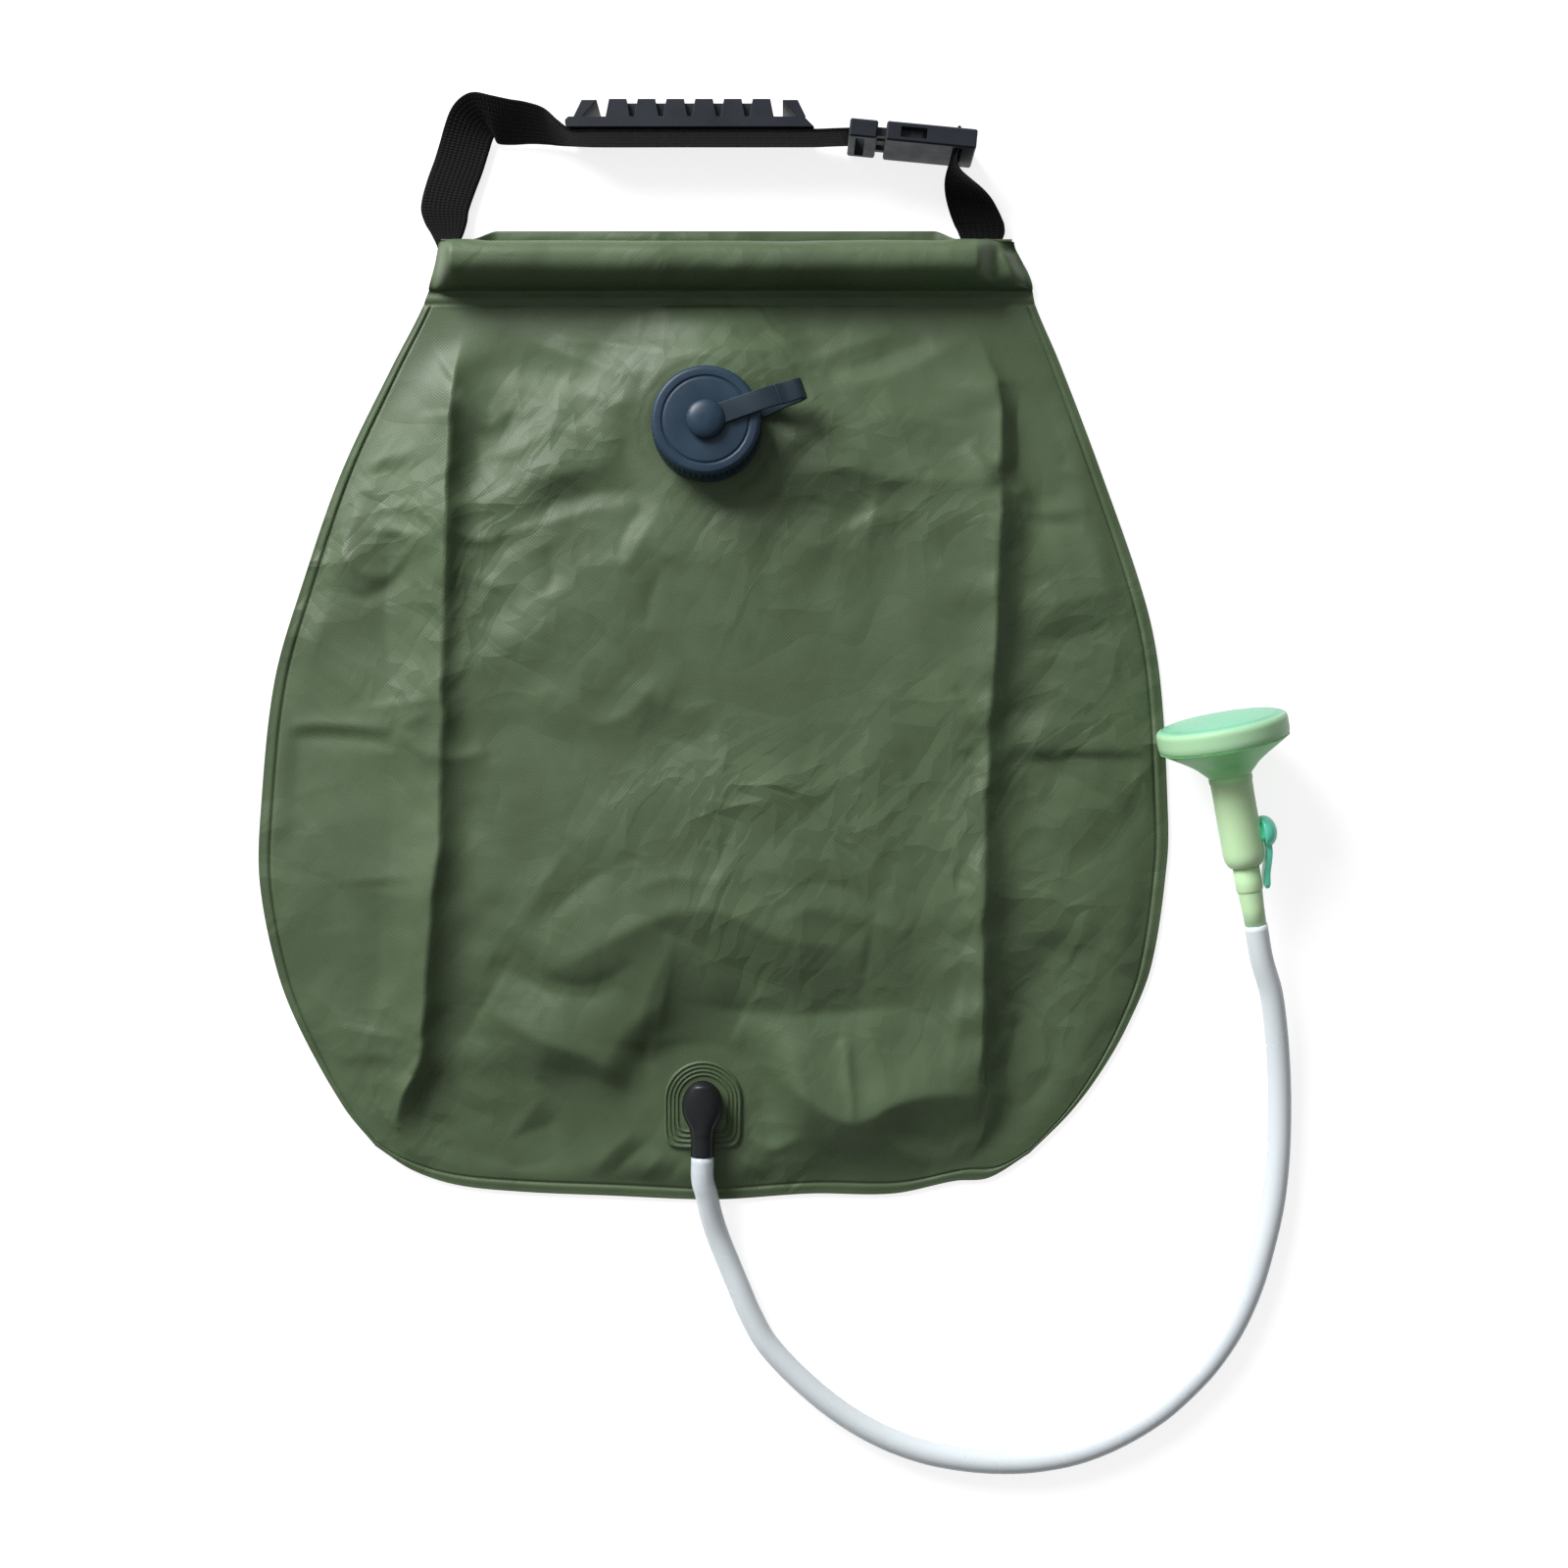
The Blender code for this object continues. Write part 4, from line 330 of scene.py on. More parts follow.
BOTTOM = [
    (-0.743, -0.890), (-0.663, -0.939), (-0.564, -0.970), (-0.425, -0.984), (-0.233, -0.992),
    (0.004, -1.0), (0.214, -0.988), (0.395, -0.988), (0.531, -0.962), (0.607, -0.955), (0.695, -0.905),
]


def mix(first, second, share):
    """The place at this share of the way from the first value to the second."""
    return first + (second - first) * share


def ease(value, low, high):
    """0 below low, 1 above high, and three times the square less twice the cube between them."""
    share = np.clip((value - low) / (high - low), 0, 1)
    return share * share * (3 - 2 * share)


def side_x(side, y):
    """Where a side edge of the bag is at this height up the bag."""
    table = np.asarray(side)
    return smooth_between(table[:, 1], table[:, 0], np.asarray(y) / HALF_LENGTH) * HALF_WIDTH


def across_x(y, share):
    """A place across the bag at this height up it, at a share of the way to its right edge."""
    return mix(side_x(LEFT_SIDE, y), side_x(RIGHT_SIDE, y), share)


def places(x, y, z):
    """Points from their three coordinates, spread over one grid."""
    return np.stack(np.broadcast_arrays(x, y, z), axis=-1)


def bladder_plan(across, along):
    """Plan places of the bladder, blended from its four edges.

    The blend adds the place between the left and right edges to the place between the bottom
    and the top, and takes away the place between the four corners.
    """
    left_foot, right_foot = (np.array(end) * (HALF_WIDTH, HALF_LENGTH) for end in (BOTTOM[0], BOTTOM[-1]))
    left_y = mix(left_foot[1], BLADDER_TOP, along)
    right_y = mix(right_foot[1], BLADDER_TOP, along)
    left_x, right_x = side_x(LEFT_SIDE, left_y), side_x(RIGHT_SIDE, right_y)
    foot_x = mix(left_foot[0], right_foot[0], across)
    table = np.asarray(BOTTOM)
    foot_y = smooth_between(table[:, 0], table[:, 1], foot_x / HALF_WIDTH) * HALF_LENGTH
    top_x = across_x(BLADDER_TOP, across)
    corner_x = mix(foot_x, top_x, along)
    corner_y = mix(mix(left_foot[1], right_foot[1], across), BLADDER_TOP, along)
    x = mix(foot_x, top_x, along) + mix(left_x, right_x, across) - corner_x
    y = mix(foot_y, BLADDER_TOP, along) + mix(left_y, right_y, across) - corner_y
    return x, y


def corner_share(x):
    """0 along the sleeve, 1 at its corners, where the webbing comes out."""
    return ease(np.abs(x - SLEEVE_MIDDLE), CORNER_START, CORNER_FULL)


def worked(tree, operation, first, second):
    """Two values of a finish, added, multiplied or compared."""
    return node(tree, "Math", settings={"operation": operation}, i0=first, i1=second)


def grey(tree, level):
    """A colour of a finish with the same level in red, green and blue."""
    return node(tree, "CombineColor", i0=level, i1=level, i2=level)


def mixed(tree, share, first, second, way="MIX"):
    """Two colours of a finish, mixed at this share or multiplied."""
    return node(
        tree, "Mix", output=2, settings={"data_type": "RGBA", "blend_type": way},
        i0=share, i6=first, i7=second,
    )


def shaded(tree, colour, tone):
    """A colour multiplied by a tone that varies over the piece."""
    return mixed(tree, 1.0, (*colour, 1), grey(tree, tone), "MULTIPLY")


def bands(tree, place, way, scale, distortion, detail_scale=1.0):
    """Soft bands across one axis of a finish, a little bent."""
    return node(
        tree, "TexWave", output=1, settings={"wave_type": "BANDS", "bands_direction": way},
        Vector=place, Scale=scale, Distortion=distortion, Detail=1.0, Detail_Scale=detail_scale,
    )


def coated_cloth():
    """Green PVC over a diagonal scrim: crumpled facets, woven relief, cloudy colour, scuffed shine."""
    material, tree, shader = finish("coated_cloth", CLOTH_GREEN, 0.50, Specular_IOR_Level=0.42)
    place = node(tree, "TexCoord", output=3)
    slant = node(tree, "Mapping", Vector=place, Rotation=(0, 0, SCRIM_SLANT))
    weave = worked(tree, "MULTIPLY", *(bands(tree, slant, way, 240.0, 0.6, 2.0) for way in ("X", "Y")))
    cloud = noise(tree, place, 14.0, 6.0, 0.62)
    grain = noise(tree, place, 900.0, 3.0)
    tone, threads = ranged(tree, cloud, 0.86, 1.16, 0.3, 0.7), ranged(tree, weave, 0.90, 1.12)
    colour = shaded(tree, CLOTH_GREEN, worked(tree, "MULTIPLY", tone, threads))
    tree.links.new(colour, shader.inputs["Base Color"])
    tree.links.new(ranged(tree, cloud, 0.44, 0.57, 0.3, 0.7), shader.inputs["Roughness"])
    bend = node(
        tree, "VectorMath", settings={"operation": "MULTIPLY_ADD"},
        i0=noise(tree, place, 9.0, 3.0, output=1), i1=(FACET_BEND,) * 3, i2=slant,
    )
    handled = ranged(tree, noise(tree, place, 8.0, 2.0), 0.12, 1.0, 0.42, 0.62)
    for size, depth in ((22.0, 0.0034), (52.0, 0.0012)):
        facets = node(tree, "TexVoronoi", settings={"distance": "MANHATTAN"}, Vector=bend, Scale=size)
        bumped(tree, shader, worked(tree, "MULTIPLY", facets, handled), depth, 0.8)
    height = worked(tree, "ADD", weave, ranged(tree, grain, 0.0, 0.35))
    bumped(tree, shader, height, 0.00010, 0.5)
    return material


cloth = coated_cloth()
share_across = np.linspace(0, 1, BACK_COLUMNS)
plan_x, plan_y = bladder_plan(*np.meshgrid(share_across, np.linspace(0, 1, BACK_ROWS)))
band_y = np.linspace(BLADDER_TOP, HALF_LENGTH, BAND_ROWS)[1:, None]
band_x = across_x(band_y, share_across[None, :])
top_y = mix(HALF_LENGTH, HALF_LENGTH - CORNER_DROP, corner_share(band_x[-1]))
band_y = mix(BLADDER_TOP, top_y[None, :], np.linspace(0, 1, BAND_ROWS)[1:, None])
back_grid = np.concatenate((places(plan_x, plan_y, SHEET), places(band_x, band_y, SHEET)))
back = surface("back_cloth", back_grid, facing=(0, 0, 1))
thickness = back.modifiers.new("cloth thickness", "SOLIDIFY")
thickness.thickness = SHEET
thickness.offset = -1
dress(back, cloth, "bag", "bag_pvc", "back_sheet")


# Front sheet
# The same cloth, raised in a low crown over what air is left in the bag, and laid over the
# spreader tube as a sleeve. It keeps the creases it was packed with, the pull of the filler
# and the outlet, and the puckers where they meet.
CROWN = 0.0135
EDGE_WELD = 0.006
FILLER = (-0.0026, 0.1445)
OUTLET = (-0.005, -0.195)
FILLER_SEAT = 0.0132
FLANGE_RADIUS = 0.0335
OUTLET_SEAT = 0.0055
TUBE_HALF = 0.130
SLEEVE_CREST = 0.0223
CORNER_LEVEL = 0.0081
CORNER_CREST = 0.012
EDGE_CREST = 0.0042
SLEEVE_REACH = 0.0113
LIP_Y = 0.2435
SLEEVE_SAG, PUCKERS, FINE_PUCKERS = 0.0004, 0.0009, 0.0002
BEYOND_TUBE = (0.0004, 0.0135)
RIDGE_HEIGHT = 0.0048
RIDGE_REACH_LEFT, RIDGE_REACH_RIGHT = 0.015, 0.0085
RIDGE_POWER = 1.15
RIDGE_FOOT_STRENGTH, RIDGE_TOP_STRENGTH = 1.45, 1.15
VALLEY_DEPTH = 0.0040
VALLEY_FOOT_REACH, VALLEY_TOP_REACH = 0.019, 0.0145
CREASE_WAVER = 0.0011
OUTER_COLUMNS = 0.2
FOLDS_FREE, RELIEF_FREE = (0.02, 0.30), (0.01, 0.16)
FILLER_FLAT, OUTLET_FLAT = (0.033, 0.072), (0.028, 0.054)
FILLER_SMOOTH, OUTLET_SMOOTH = (0.031, 0.046), (0.027, 0.040)
FLANGE_MARK, FLANGE_MARK_REACH = 0.0004, 0.0009
WELD_MARK, WELD_MARK_REACH = 0.0007, 0.0007
HEM_MIDDLE, HEM_REACH = 0.0040, 0.0016
MAIN_STRENGTH, MAIN_POWER = 1.4, 1.3
SMALL_STRENGTH, SMALL_POWER = 1.15, 1.2
BAND_WELD_Y, BAND_WELD_REACH = 0.2092, 0.0008
BAND_PUFF_Y, BAND_PUFF_REACH = 0.2120, 0.0012
BAND_LIFT, BAND_GROOVE, BAND_RIPPLE = 0.0002, 0.0006, 0.00035
LEFT_CREASE = [
    (0.0, 0.020), (0.024, 0.039), (0.059, 0.077), (0.110, 0.121), (0.144, 0.149),
    (0.191, 0.169), (0.253, 0.184), (0.330, 0.198), (0.430, 0.201), (0.536, 0.196),
    (0.672, 0.174), (0.786, 0.150), (0.871, 0.120), (1.0, 0.075),
]
RIGHT_CREASE = [
    (0.0, 0.885), (0.07, 0.866), (0.113, 0.840), (0.143, 0.824), (0.242, 0.802),
    (0.296, 0.799), (0.376, 0.796), (0.45, 0.798), (0.59, 0.811), (0.67, 0.826),
    (0.81, 0.868), (0.88, 0.889), (0.92, 0.898), (1.0, 0.885),
]
MAIN_FOLDS = [
    (8.2, 27, 15, [(6, -170), (40, -188), (70, -206), (90, -197), (112, -191), (137, -193)]),
    (4.8, 19, 13, [(-116, -148), (-90, -163), (-64, -172), (-44, -184), (-28, -194)]),
    (4.0, 18, 17, [(-88, -132), (-66, -122), (-32, -104), (0, -98), (34, -112), (78, -120)]),
    (-4.2, 18, 20, [(-24, -144), (14, -150), (56, -151), (92, -148), (124, -152)]),
    (-3.0, 11, 13, [(-100, 94), (-78, 108), (-46, 113), (-4, 110), (40, 108), (80, 100)]),
    (2.4, 16, 8, [(30, 126), (64, 124), (98, 119), (146, 118)]),
    (2.2, 14, 9, [(-118, 106), (-98, 116), (-72, 122), (-44, 128)]),
    (2.6, 10, 10, [(-156, 206), (-145, 184), (-128, 160), (-104, 148)]),
    (2.2, 12, 15, [(-38, -168), (-32, -142), (-18, -112)]),
    (-1.8, 9, 8, [(-112, -124), (-86, -138), (-60, -142), (-46, -134)]),
    (-2.6, 16, 15, [(-163, 92), (-166, 50), (-161, 6)]),
    (-1.2, 14, 14, [(-164, -20), (-162, -60), (-164, -90)]),
    (-2.4, 17, 20, [(-170, -84), (-168, -120), (-174, -160)]),
]
SMALL_FOLDS = [
    (1.7, 6, 3, [(-221, -6), (-200, -5), (-180, -6), (-161, -8)]),
    (-0.9, 4, 5, [(-221, -12), (-200, -11), (-180, -12), (-161, -15)]),
    (1.4, 11, 5, [(138, -18), (160, -17), (190, -18), (227, -19)]),
    (-1.3, 4, 6, [(137, -29), (152, -26), (172, -23), (200, -22), (226, -22)]),
    (-1.2, 6, 4, [(138, -8), (146, -3), (156, 4)]),
    (1.0, 6, 4, [(-160, -8), (-150, -16), (-141, -24)]),
    (1.0, 5, 5, [(-160, -6), (-150, -2), (-141, 1)]),
    (1.6, 7, 5, [(-143, -21), (-131, -22), (-114, -19)]),
    (-1.2, 4, 8, [(-212, 60), (-196, 65), (-178, 60), (-164, 66), (-150, 80)]),
    (1.2, 8, 4, [(-206, 86), (-190, 82), (-178, 72), (-166, 70), (-152, 84)]),
    (0.9, 4, 6, [(-188, 130), (-176, 128), (-162, 131), (-150, 136)]),
    (-0.9, 5, 7, [(-188, 122), (-172, 122), (-154, 126)]),
    (0.9, 6, 3, [(-190, 112), (-176, 114), (-166, 104), (-152, 106), (-139, 96)]),
    (0.8, 4, 4, [(-168, 98), (-158, 92), (-150, 84)]),
    (0.9, 7, 4, [(152, 105), (170, 103), (192, 105)]),
    (-0.8, 4, 6, [(150, 100), (170, 98), (188, 97)]),
    (0.8, 7, 4, [(158, 129), (172, 125), (194, 121)]),
    (1.2, 9, 8, [(158, 60), (176, 56), (198, 62), (216, 60)]),
    (-1.3, 12, 14, [(150, 40), (176, 38), (204, 46), (218, 50)]),
    (1.0, 14, 12, [(150, -62), (176, -78), (200, -98), (216, -112)]),
    (0.9, 12, 10, [(160, -160), (180, -158), (194, -166)]),
    (1.3, 6, 5, [(-106, 206), (-80, 193), (-50, 188), (-14, 181)]),
    (1.4, 7, 7, [(-102, 197), (-82, 186), (-58, 178), (-36, 170)]),
    (-1.1, 9, 9, [(-98, 176), (-78, 170), (-60, 164)]),
    (1.3, 9, 9, [(-78, 166), (-58, 160), (-38, 156)]),
    (1.3, 7, 6, [(-118, 130), (-98, 134), (-78, 145), (-62, 140), (-46, 132)]),
    (1.4, 5, 9, [(-112, 91), (-88, 95), (-62, 103), (-38, 106)]),
    (1.4, 5, 4, [(-148, 204), (-142, 188), (-134, 174), (-124, 163)]),
    (-1.3, 4, 5, [(-146, 190), (-137, 174), (-128, 162)]),
    (1.5, 5, 5, [(-130, 160), (-122, 152), (-114, 146), (-106, 152)]),
    (1.1, 3, 5, [(-136, 97), (-126, 90), (-116, 88), (-106, 90)]),
    (1.0, 4, 6, [(-124, 112), (-116, 100), (-107, 89)]),
    (-0.9, 4, 4, [(-138, 92), (-126, 84), (-112, 86)]),
    (1.0, 5, 5, [(-134, 77), (-118, 68), (-98, 62)]),
    (1.2, 5, 5, [(-100, 84), (-94, 72), (-88, 62)]),
    (-1.2, 5, 5, [(-84, 84), (-80, 72), (-84, 60)]),
    (-1.0, 6, 6, [(-36, 104), (-44, 92), (-48, 78)]),
    (0.9, 5, 5, [(-26, 104), (-36, 88), (-44, 72)]),
    (-0.9, 6, 6, [(-22, 78), (-30, 62), (-34, 44)]),
    (1.2, 8, 8, [(-92, 6), (-78, 12), (-60, -4), (-42, 0), (-28, 14), (-18, 2), (4, 6)]),
    (1.0, 8, 8, [(-44, 18), (-34, 10), (-22, 4)]),
    (-0.9, 7, 9, [(-36, -6), (-20, -12), (2, -10)]),
    (1.2, 8, 8, [(22, 182), (40, 190), (68, 196), (92, 206)]),
    (-1.0, 7, 8, [(20, 190), (34, 202), (44, 207)]),
    (1.4, 8, 8, [(30, 176), (52, 180), (78, 190), (108, 206)]),
    (-1.0, 8, 8, [(56, 172), (82, 180), (110, 192)]),
    (1.1, 9, 9, [(48, 162), (80, 168), (112, 182), (142, 204)]),
    (1.0, 10, 9, [(44, 152), (80, 150), (118, 148), (140, 132)]),
    (1.0, 6, 5, [(20, 142), (40, 138), (62, 130), (78, 122)]),
    (1.1, 5, 4, [(128, 138), (136, 126), (144, 118)]),
    (-1.4, 3, 3, [(142, 120), (148, 124), (158, 126)]),
    (1.0, 5, 5, [(146, 116), (152, 112), (160, 116)]),
    (-1.2, 6, 8, [(26, 110), (46, 102), (66, 98), (78, 104)]),
    (1.1, 5, 6, [(70, 92), (82, 100), (92, 98)]),
    (-0.9, 6, 6, [(98, 96), (108, 84), (112, 74)]),
    (1.1, 8, 10, [(0, 96), (30, 92), (60, 82)]),
    (-1.4, 3, 3, [(146, 82), (150, 84), (154, 86)]),
    (-1.2, 3, 3, [(122, 14), (128, 6), (136, -4)]),
    (-0.9, 3, 3, [(127, -18), (131, -22), (134, -26)]),
    (-0.9, 2, 2, [(130, -28), (133, -31), (136, -33)]),
    (-0.8, 3, 3, [(120, -80), (126, -84), (132, -86)]),
    (0.9, 5, 5, [(137, -33), (146, -36), (158, -38)]),
    (1.4, 5, 5, [(139, -140), (147, -146), (152, -158)]),
    (1.2, 5, 4, [(139, -180), (146, -168), (152, -158)]),
    (-1.3, 5, 7, [(-100, -118), (-82, -134), (-60, -136), (-38, -124)]),
    (-1.4, 8, 8, [(-88, -112), (-76, -96), (-60, -82), (-34, -70)]),
    (1.2, 8, 8, [(-98, -104), (-84, -84), (-72, -68)]),
    (1.0, 6, 6, [(-44, -90), (-20, -82), (2, -84), (14, -76)]),
    (-1.2, 8, 8, [(30, -90), (52, -84), (76, -92), (96, -108)]),
    (1.2, 7, 7, [(34, -104), (52, -98), (78, -104), (100, -112)]),
    (1.2, 4, 7, [(-32, -174), (-28, -166), (-14, -164), (4, -166), (16, -166)]),
    (-1.8, 3, 3, [(-36, -166), (-34, -174), (-28, -182)]),
    (1.8, 4, 4, [(66, -164), (69, -184), (71, -206)]),
    (-1.2, 7, 9, [(-86, -178), (-60, -184), (-34, -196)]),
    (1.3, 8, 8, [(-84, -190), (-96, -206), (-108, -222)]),
    (-1.6, 7, 7, [(-80, -204), (-92, -218), (-104, -232)]),
    (1.1, 5, 5, [(-40, -212), (-52, -222), (-62, -234)]),
    (-1.2, 4, 4, [(-30, -214), (-42, -224), (-54, -236)]),
    (1.2, 4, 4, [(-24, -222), (-32, -230), (-38, -238)]),
    (-1.0, 3, 3, [(-16, -224), (-20, -232), (-24, -239)]),
    (1.3, 4, 4, [(18, -206), (28, -220), (44, -214)]),
    (1.1, 3, 3, [(12, -222), (20, -230), (28, -236)]),
    (-1.1, 4, 4, [(16, -198), (26, -212), (34, -226)]),
    (1.5, 5, 5, [(76, -208), (92, -218), (110, -230)]),
    (-1.5, 8, 8, [(84, -208), (102, -212), (122, -222)]),
    (1.2, 5, 5, [(138, -194), (146, -192), (154, -195)]),
    (1.1, 9, 9, [(-206, -140), (-192, -152), (-178, -172)]),
    (1.2, 8, 5, [(-200, -170), (-184, -174), (-168, -172), (-154, -178)]),
    (-1.3, 5, 5, [(-152, -180), (-146, -184), (-136, -184)]),
    (-1.3, 5, 5, [(-150, -166), (-144, -160), (-136, -148)]),
    (-1.0, 12, 12, [(-206, -40), (-196, -70), (-192, -110)]),
]


def smooth_route(points, count):
    """Evenly spaced points of a smooth curve through points of a plane."""
    points = np.asarray(points, float)
    return along_stations(np.column_stack((points, 0 * points[:, 0])), count)[:, :2]


def folds(x, y, table, power):
    """Height that folds add, in metres, from rows in millimetres of height, reach and route.

    It falls off from the crest as the exponential of minus the distance over the reach, to the
    given power, with one reach on the handle's side of the route and one on the other side, and
    fades towards both ends of the route as the square root of a sine.
    """
    total = np.zeros_like(x)
    for height, north, south, route in table:
        route = smooth_route(np.asarray(route) / 1000, 3 * len(route) - 2)
        steps = np.linalg.norm(np.diff(route, axis=0), axis=1)
        reached = np.concatenate(([0.0], np.cumsum(steps)))
        around = 0.003 * max(north, south)
        low, high = route.min(axis=0) - around, route.max(axis=0) + around
        inside = (x > low[0]) & (x < high[0]) & (y > low[1]) & (y < high[1])
        px, py = x[inside], y[inside]
        near, place, side = np.full_like(px, 9.0), np.zeros_like(px), np.zeros_like(px)
        for start, end, begun in zip(route, route[1:], reached):
            run = end - start
            share = np.clip(((px - start[0]) * run[0] + (py - start[1]) * run[1]) / (run @ run), 0, 1)
            off_x, off_y = px - start[0] - run[0] * share, py - start[1] - run[1] * share
            distance = np.hypot(off_x, off_y)
            closer = distance < near
            near = np.where(closer, distance, near)
            place = np.where(closer, begun + share * math.hypot(*run), place)
            side = np.where(closer, run[0] * off_y - run[1] * off_x, side)
        reach = np.where(side > 0, north, south) / 1000
        fade = np.sqrt(np.clip(np.sin(np.pi * place / reached[-1]), 0, 1))
        total[inside] += height / 1000 * np.exp(-(near / reach) ** power) * fade
    return total


RUMPLE_SIDE = 64


def rumple(x, y, cell, seed):
    """Smooth uneven ground between -1 and 1: random heights at the corners of square cells,
    blended inside each cell by the ease curve both ways."""
    heights = np.random.default_rng(seed).uniform(-1, 1, (RUMPLE_SIDE, RUMPLE_SIDE))
    last = RUMPLE_SIDE - 1
    i, j = x / cell + last / 2, y / cell + last / 2
    column, row = np.floor(i).astype(int) % last, np.floor(j).astype(int) % last
    s, t = ease(i - np.floor(i), 0, 1), ease(j - np.floor(j), 0, 1)
    low = mix(heights[row, column], heights[row, column + 1], s)
    high = mix(heights[row + 1, column], heights[row + 1, column + 1], s)
    return mix(low, high, t)


def crumple(x, y):
    """Fine uneven relief: three sizes of soft ground, each turned from the last and stretched."""
    sizes = (0.080, 0.0022, 0.5, 4), (0.036, 0.0009, 1.3, 9), (0.014, 0.0002, 2.2, 5)
    total = np.zeros_like(x)
    for cell, height, turn, seed in sizes:
        s = x * math.cos(turn) + y * math.sin(turn)
        t = y * math.cos(turn) - x * math.sin(turn)
        total += height * rumple(s * 0.7, t * 1.4, cell, seed)
    return total


def peak(value, place, reach):
    """1 at the place, and off it the exponential of minus the square of the distance over the reach."""
    return np.exp(-((value - place) / reach) ** 2)


def signed_power(value, power):
    """A value raised to a power, with its sign kept."""
    return np.sign(value) * np.abs(value) ** power


def swell(share, edge):
    """1 less the cube of what is left to the middle: 0 at the weld, 1 in the middle."""
    inside = np.clip((np.minimum(share, 1 - share) - edge) / (0.5 - edge), 0, 1)
    return 1 - (1 - inside) ** 3


def crease_share(table, along):
    """How far across the bladder a packing crease is, at these shares of the way up it."""
    table = np.asarray(table)
    return smooth_between(table[:, 0], table[:, 1], along)


def warped(column, along):
    """Shares across the bladder of grid columns, two of which keep to the packing creases.

    Over the outer columns at the left a column's share grows evenly to the left crease, over
    those at the right evenly from the right crease to the edge, and between them evenly from
    one crease to the other.
    """
    left, right = crease_share(LEFT_CREASE, along), crease_share(RIGHT_CREASE, along)
    inner = mix(left, right, (column - OUTER_COLUMNS) / (1 - 2 * OUTER_COLUMNS))
    from_left = left * column / OUTER_COLUMNS
    from_right = 1 - (1 - right) * (1 - column) / OUTER_COLUMNS
    outer = np.where(column < 0.5, from_left, from_right)
    return np.where((column < OUTER_COLUMNS) | (column > 1 - OUTER_COLUMNS), outer, inner)


def crease_height(x, along):
    """A ridge at each packing crease, steep on its right, with a valley beyond it.

    The ridge is the exponential of minus the distance over its reach, to the ridge's power. The
    valley is the distance over its reach, times the exponential of one less that. Their strength
    and their line waver on the way up the bag, and the valley is widest low down.
    """
    total = np.zeros_like(x)
    for table, seed in ((LEFT_CREASE, 61), (RIGHT_CREASE, 62)):
        beyond = x - bladder_plan(crease_share(table, along), along)[0]
        strength = mix(RIDGE_FOOT_STRENGTH, RIDGE_TOP_STRENGTH, ease(along, 0.05, 0.4))
        strength = strength + 0.25 * rumple(along * 0.4, 0 * along, 0.022, seed)
        strength = strength + 0.3 * rumple(along * 0.45, beyond * 0.6, 0.0125, seed + 2)
        beyond = beyond + CREASE_WAVER * rumple(along * 0.45, 0 * along, 0.013, seed + 4)
        reach = np.where(beyond > 0, RIDGE_REACH_RIGHT, RIDGE_REACH_LEFT)
        ridge = RIDGE_HEIGHT * np.exp(-(np.abs(beyond) / reach) ** RIDGE_POWER)
        valley_reach = mix(VALLEY_FOOT_REACH, VALLEY_TOP_REACH, ease(along, 0.15, 0.6))
        valley = np.maximum(beyond, 0) / valley_reach
        total += strength * (ridge - VALLEY_DEPTH * valley * np.exp(1 - valley))
    return total


def front_height(x, y, across, along):
    """Height of the front sheet's outer face over the bladder: the weld's level, the crown, the
    creases and the folds, eased flat round the filler and the outlet and down to the weld, less
    the marks of the filler's flange and of the edge weld."""
    rise = swell(across, EDGE_WELD / BAG_WIDTH) * swell(along, EDGE_WELD / BAG_LENGTH)
    deep = crease_height(x, along) + MAIN_STRENGTH * folds(x, y, MAIN_FOLDS, MAIN_POWER)
    height = WELD_LEVEL + SHEET + CROWN * rise + ease(rise, *FOLDS_FREE) * deep
    filler = np.hypot(x - FILLER[0], y - FILLER[1])
    outlet = np.hypot(x - OUTLET[0], y - OUTLET[1])
    height = mix(FILLER_SEAT + SHEET, height, ease(filler, *FILLER_FLAT))
    height = mix(OUTLET_SEAT + SHEET, height, ease(outlet, *OUTLET_FLAT))
    relief = SMALL_STRENGTH * folds(x, y, SMALL_FOLDS, SMALL_POWER) + crumple(x, y)
    relief = relief * ease(rise, *RELIEF_FREE)
    height += relief * ease(filler, *FILLER_SMOOTH) * ease(outlet, *OUTLET_SMOOTH)
    edge = np.minimum(np.minimum(across, 1 - across) * BAG_WIDTH, along * BAG_LENGTH)
    step = peak(edge, EDGE_WELD, WELD_MARK_REACH) - 0.4 * peak(edge, HEM_MIDDLE, HEM_REACH)
    height = np.maximum(height, WELD_LEVEL + SHEET - 0.0002)
    return height - FLANGE_MARK * peak(filler, FLANGE_RADIUS, FLANGE_MARK_REACH) - WELD_MARK * step


HEM_SHARE = 0.024
HEM_ROWS, FRONT_COLUMNS, FRONT_ROWS = 22, 262, 226
hem = np.linspace(0, HEM_SHARE, HEM_ROWS)[:-1]
column = np.concatenate((hem, np.linspace(HEM_SHARE, 1 - HEM_SHARE, FRONT_COLUMNS), 1 - hem[::-1]))[None, :]
share_along = np.concatenate((hem, np.linspace(HEM_SHARE, 1, FRONT_ROWS)))[:, None]
share_across = warped(column, share_along)
share_along = share_along + 0 * share_across
front_x, front_y = bladder_plan(share_across, share_along)
front_z = front_height(front_x, front_y, share_across, share_along)
sleeve_across = share_across[-1:]

